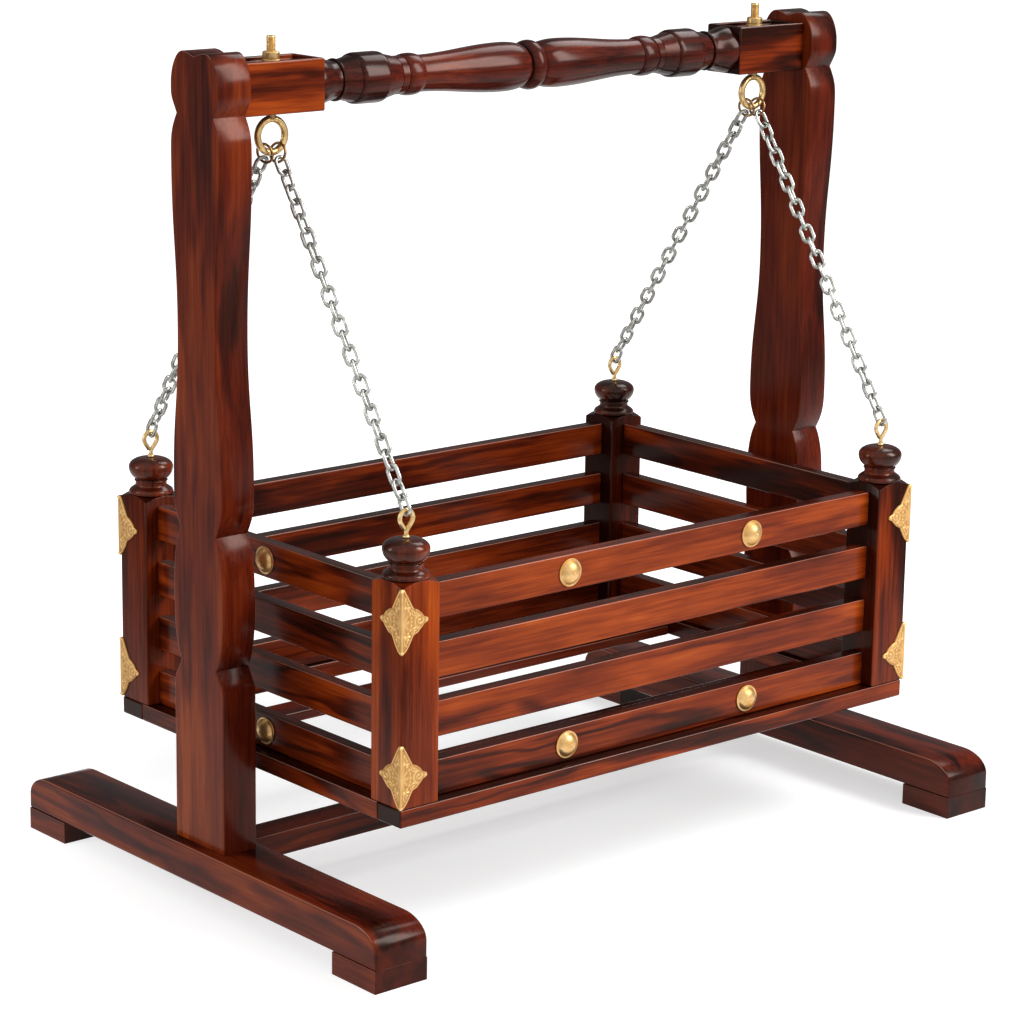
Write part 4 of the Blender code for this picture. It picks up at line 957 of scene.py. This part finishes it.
wall_nodes = wall_tree()
low_boards = ("Z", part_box("slat_front_2")[0].z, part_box("slat_front_4")[0].z, LOW_BOARD_SHADE)
wall_wood = {}
for wall, (name, grain, *figure) in WALL_WOOD.items():
    wood = lacquered_sheesham(name, grain, BOX_TONES, *figure, low_boards if wall == "front" else None)
    wall_wood[wall] = wood
    low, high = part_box(f"slat_{wall}_1")
    pitch = low.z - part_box(f"slat_{wall}_2")[0].z
    board = eased_board(low, high, BOARD_ARRIS)
    mesh = repeated(board, 1, (0.0, 0.0, 0.0), SLAT_ROWS, (0.0, 0.0, -pitch), wood)
    nodes = [f"slat_{wall}_{i + 1}" for i in range(SLAT_ROWS)]
    put(f"slats_{wall}", mesh, wood, "cradle_box", "red_wood", *nodes)


# Base rails and floor battens: the flat frame that carries the corner posts, and two loose boards across it
# for the mattress, all planed and lacquered.
for wall, like in (("front", "front"), ("back", "front"), ("left", "left"), ("right", "left")):
    put_board(f"base_rail_{wall}", BOARD_ARRIS, wall_wood[like], "cradle_box", "red_wood")
for face in FACES:
    put_board(f"floor_batten_{face}", BOARD_ARRIS, stand_wood_x, "cradle_box", "dark_wood")


# Screw eyes: brass wire bent round to a drop-shaped eye whose end butts on its own stem, screwed into each
# finial down to a small collar.
COLLAR_RADIUS = 0.0040
COLLAR_HEIGHT = 0.0030
COLLAR_STEPS = 24
COLLAR_CREASE = 60
COLLAR_SEAT = 0.0002
# The collar from its foot up, as (height over the finial's top, share of its radius).
COLLAR_FORM = ((0.0, 0.9), (0.0005, 1.0), (COLLAR_HEIGHT - 0.0010, 1.0), (COLLAR_HEIGHT, 0.75))
SCREW_DEPTH = 0.010
EYE_NECK_RISE = 0.0075
EYE_OPENING = math.radians(48)
EYE_BEND_STEPS = 36

# Clean brass: a paler and brighter yellow than that of the bolts.
clean_brass = worn_metal("clean_brass", "#F2D49C", "#D0A660", 0.28, 0.007, 0.85)
for side, face in CORNERS:
    low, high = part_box(f"corner_post_{side}_{face}")
    foot = Vector(((low.x + high.x) / 2, (low.y + high.y) / 2, high.z))
    path = [foot + Vector((0.0, 0.0, rise)) for rise in (-SCREW_DEPTH, COLLAR_HEIGHT, EYE_NECK_RISE)]
    for i in range(EYE_BEND_STEPS + 1):
        angle = EYE_OPENING - math.pi / 2 + (2 * math.pi - 2 * EYE_OPENING) * i / EYE_BEND_STEPS
        path.append(foot + Vector((FINIAL_EYE_RADIUS * math.cos(angle), 0.0,
                                   FINIAL_EYE_RISE + FINIAL_EYE_RADIUS * math.sin(angle))))
    path.append(foot + Vector((-FINIAL_EYE_WIRE_RADIUS, 0.0, EYE_NECK_RISE + FINIAL_EYE_WIRE_RADIUS)))
    name = f"screw_eye_{side}_{face}"
    mesh = bent_wire(path, FINIAL_EYE_WIRE_RADIUS, False)
    put(f"{name}_wire", mesh, clean_brass, "cradle_box", "brass", name)
    collar = [(COLLAR_SEAT + rise, COLLAR_RADIUS * share) for rise, share in COLLAR_FORM]
    mesh = turned(collar, COLLAR_STEPS, False, COLLAR_CREASE)
    mesh.transform(Matrix.Translation(foot))
    put(f"{name}_collar", mesh, clean_brass, "cradle_box", "brass")


# Corner plates: thin brass pressed with scrolls and beads, folded round the outer arris of each corner post
# at the top and the bottom and pinned there. The hollows of the pattern are coloured brown as painted shade.
PLATE_SHEET = 0.0007
PLATE_HALF_WIDTH = 0.0355
PLATE_RISE = 0.0370
PLATE_FALL = 0.0345
PLATE_GAP = 0.0003
PLATE_RELIEF = 0.0016
PLATE_ROWS = 72
PLATE_COLUMNS = 30
PLATE_CREASE = 60
# Outline of one wing, as shares of (height, half width), with a knob at the tip.
PLATE_EDGE = (
    (-1.00, 0.03), (-0.88, 0.17), (-0.71, 0.29), (-0.52, 0.39), (-0.42, 0.45), (-0.36, 0.60), (-0.19, 0.79),
    (-0.11, 0.85), (-0.08, 0.95), (-0.04, 1.00), (0.03, 1.00), (0.07, 0.95), (0.10, 0.84), (0.23, 0.74),
    (0.34, 0.58), (0.38, 0.45), (0.49, 0.38), (0.72, 0.25), (0.92, 0.13), (1.00, 0.07))
EDGE_SLOPE = 12
RIM_PLACE = 0.045
RIM_WIDTH = 0.05
RIM_HEIGHT = 0.85
RIM_INSIDE = 0.06
OVAL_WIDTH = 0.34
OVAL_HEIGHT = 0.46
BEADS = 18
PETALS = 10
FIELD_HEIGHT = 0.18
FOLD_WIDTH = 0.06
FOLD_HEIGHT = 0.5
# Scrolls, as (place across, place up, radius).
SCROLLS = ((0.66, 0.00, 0.27), (0.22, 0.60, 0.21), (0.22, -0.62, 0.21), (0.47, 0.30, 0.15),
           (0.45, -0.32, 0.15))
SCROLL_TURNS = 2.1
# Painted shade: the brown given to the hollows of the pattern.
GILT_HOLLOW_SHADE = "#AE6E24"
GILT_RAISED = "#FCD28A"
GILT_SPOT = 0.004
GILT_METALLIC = 0.5
# Brightness over the spots and roughness over the height, each as (change, start).
GILT_RUBBED = (0.35, -0.10)
GILT_ROUGHNESS = (-0.18, 0.52)


def plate_width(level):
    """Half width of the plate at a height, both as shares of their greatest value."""
    for (low, first), (high, last) in zip(PLATE_EDGE, PLATE_EDGE[1:]):
        if level <= high:
            return first + (last - first) * (level - low) / (high - low)
    return PLATE_EDGE[-1][1]


def bump(distance, radius):
    """A smooth round rise of height 1 that ends at a radius."""
    share = min(1.0, abs(distance) / radius)
    return (1 - share * share) ** 2


def plate_relief(across, level, edge):
    """How high the pressed pattern stands, from 0 in the hollows to 1: a raised rim, an oval of beads round
    a petalled boss, scrolls on the wings and points, and a knob on each tip."""
    rim = bump(edge - RIM_PLACE, RIM_WIDTH) * RIM_HEIGHT
    oval = math.hypot(across / OVAL_WIDTH, level / OVAL_HEIGHT)
    beads = bump(oval - 1.0, 0.18) * (0.60 + 0.35 * math.cos(BEADS * math.atan2(level, across)))
    petals = math.cos(PETALS * math.atan2(level / OVAL_HEIGHT, across / OVAL_WIDTH)) * bump(oval - 0.60, 0.32)
    pattern = 0.22 + 0.34 * bump(oval, 0.95) + 0.22 * petals if oval < 1.0 else FIELD_HEIGHT
    for x, z, radius in SCROLLS:
        reach = math.hypot(across - x, level - z) / radius
        if reach < 1.0 and oval > 1.0:
            turn = math.atan2(level - z, across - x) * (1 if z >= 0 else -1)
            pattern = max(pattern, 0.42 + 0.38 * math.cos(2 * math.pi * SCROLL_TURNS * reach - turn))
    inner = pattern * min(1.0, max(0.0, edge - RIM_INSIDE) * EDGE_SLOPE)
    fold = bump(across, FOLD_WIDTH) * FOLD_HEIGHT
    side_knob = bump(math.hypot(across - 0.92, level + 0.01), 0.10)
    end_knob = bump(math.hypot(across, abs(level) - 0.94), 0.08)
    return min(1.0, max(rim, beads, inner, fold, side_knob + end_knob))


def plate_mesh(fold, sign_x, sign_y):
    """Two pressed wings that share the fold. The pattern stands out and the back stays flat."""
    shape = bmesh.new()
    depth = shape.verts.layers.float.new("relief")
    out = Vector((sign_x, sign_y, 0.0))
    fronts = {}
    backs = {}
    for wing, across_way, face_way in ((0, Vector((-sign_x, 0, 0)), Vector((0, sign_y, 0))),
                                       (1, Vector((0, -sign_y, 0)), Vector((sign_x, 0, 0)))):
        for row in range(PLATE_ROWS + 1):
            level = 2 * row / PLATE_ROWS - 1
            width = plate_width(level)
            height = level * (PLATE_RISE if level > 0 else PLATE_FALL)
            for column in range(PLATE_COLUMNS + 1):
                if column == 0 and wing == 1:
                    fronts[1, row, 0] = fronts[0, row, 0]
                    backs[1, row, 0] = backs[0, row, 0]
                    continue
                share = column / PLATE_COLUMNS
                across = share * width
                edge = min((1 - share) * width, 1 - abs(level))
                relief = plate_relief(across, level, edge)
                rise = PLATE_SHEET * min(1.0, 0.4 + edge * EDGE_SLOPE) + PLATE_RELIEF * relief
                base = fold + across_way * across * PLATE_HALF_WIDTH + Vector((0.0, 0.0, height))
                way = out if column == 0 else face_way
                fronts[wing, row, column] = shape.verts.new(base + way * rise)
                fronts[wing, row, column][depth] = relief
                backs[wing, row, column] = shape.verts.new(base)
    for wing in (0, 1):
        for sheet in (fronts, backs):
            for row in range(PLATE_ROWS):
                for column in range(PLATE_COLUMNS):
                    shape.faces.new((sheet[wing, row, column], sheet[wing, row, column + 1],
                                     sheet[wing, row + 1, column + 1], sheet[wing, row + 1, column]))
        side = [(row, PLATE_COLUMNS) for row in range(PLATE_ROWS + 1)]
        ends = [[(row, column) for column in range(PLATE_COLUMNS + 1)] for row in (0, PLATE_ROWS)]
        for run in (side, *ends):
            for first, second in zip(run, run[1:]):
                shape.faces.new((fronts[(wing, *first)], fronts[(wing, *second)],
                                 backs[(wing, *second)], backs[(wing, *first)]))
    mesh = finished(shape)
    mesh.shade_smooth()
    mesh.set_sharp_from_angle(angle=math.radians(PLATE_CREASE))
    return mesh


def pressed_brass():
    """Gilt brass sheet: bright where the pattern stands out and is rubbed, and brown in the hollows as
    painted shade.
    """
    material, tree = empty_material("pressed_gilt_brass")
    relief = add(tree, "ShaderNodeAttribute", attribute_name="relief").outputs["Fac"]
    place = add(tree, "ShaderNodeTexCoord").outputs["Object"]
    spots = add(tree, "ShaderNodeTexNoise", Vector=place, Scale=1 / GILT_SPOT, Detail=3.0)
    brightening = add(tree, "ShaderNodeMath", spots, *GILT_RUBBED, operation="MULTIPLY_ADD")
    height = add(tree, "ShaderNodeMath", relief, brightening, operation="ADD", use_clamp=True)
    colour = add(tree, "ShaderNodeMix", height, sockets={6: srgb(GILT_HOLLOW_SHADE), 7: srgb(GILT_RAISED)},
                 data_type="RGBA")
    rough = add(tree, "ShaderNodeMath", height, *GILT_ROUGHNESS, operation="MULTIPLY_ADD")
    metal = add(tree, "ShaderNodeBsdfPrincipled", Base_Color=colour.outputs[2], Metallic=GILT_METALLIC,
                Roughness=rough)
    add(tree, "ShaderNodeOutputMaterial", metal)
    return material


gilt_brass = pressed_brass()
for side, face in CORNERS:
    out = Vector((SIDES[side], FACES[face], 0.0))
    post_low, post_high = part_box(f"corner_post_{side}_{face}")
    for end in ("top", "bottom"):
        name = f"corner_plate_{side}_{face}_{end}"
        fold = Vector((post_high.x if out.x > 0 else post_low.x, post_high.y if out.y > 0 else post_low.y,
                       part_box(name)[0].z + PLATE_FALL))
        mesh = plate_mesh(fold + out * PLATE_GAP, out.x, out.y)
        put(f"{name}_pressed", mesh, gilt_brass, "cradle_box", "gilt_brass", name)


# Studs: spun brass caps, a flat rim round a high dome with a small point, pinned on the top and bottom slats
# of each wall for ornament. The profile is in (height, radius) pairs.
STUD_PROFILE = (
    (0.0000, 0.0153), (0.0006, 0.0160), (0.0013, 0.0158), (0.0017, 0.0148), (0.0016, 0.0138),
    (0.0022, 0.0132), (0.0038, 0.0122), (0.0058, 0.0104), (0.0074, 0.0080), (0.0085, 0.0052),
    (0.0090, 0.0026), (0.0091, 0.0016), (0.0096, 0.0013), (0.0098, 0.0006))
STUD_STEPS = 36
STUD_CREASE = 50
STUD_X = 0.140
STUD_SETTLE = 0.0002
STUD_WALLS = {"front": 0.0, "right": math.pi / 2, "back": math.pi, "left": -math.pi / 2}

# Spun gilt brass: a warm gold with broad faint clouds and a soft shine.
spun_brass = worn_metal("spun_gilt_brass", "#EBC284", "#CE9850", 0.30, 0.012, 0.75)
for wall, turn in STUD_WALLS.items():
    low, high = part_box(f"slat_{wall}_1")
    drop = low.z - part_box(f"slat_{wall}_{SLAT_ROWS}")[0].z
    reach = {"front": -low.y, "back": high.y, "left": -low.x, "right": high.x}[wall]
    columns = 2 if wall in FACES else 1
    spread = 2 * STUD_X if wall in FACES else 0.0
    cap = turned(STUD_PROFILE, STUD_STEPS, False, STUD_CREASE)
    mesh = repeated(cap, columns, (spread, 0.0, 0.0), 2, (0.0, -drop, 0.0), spun_brass)
    mesh.transform(Matrix.Translation((-spread / 2, 0.0, 0.0)))
    on_slat = Matrix.Translation((0.0, -reach - STUD_SETTLE, (low.z + high.z) / 2))
    mesh.transform(Matrix.Rotation(turn, 4, "Z") @ on_slat @ Matrix.Rotation(math.pi / 2, 4, "X"))
    put(f"studs_{wall}", mesh, spun_brass, "cradle_box", "gilt_brass")
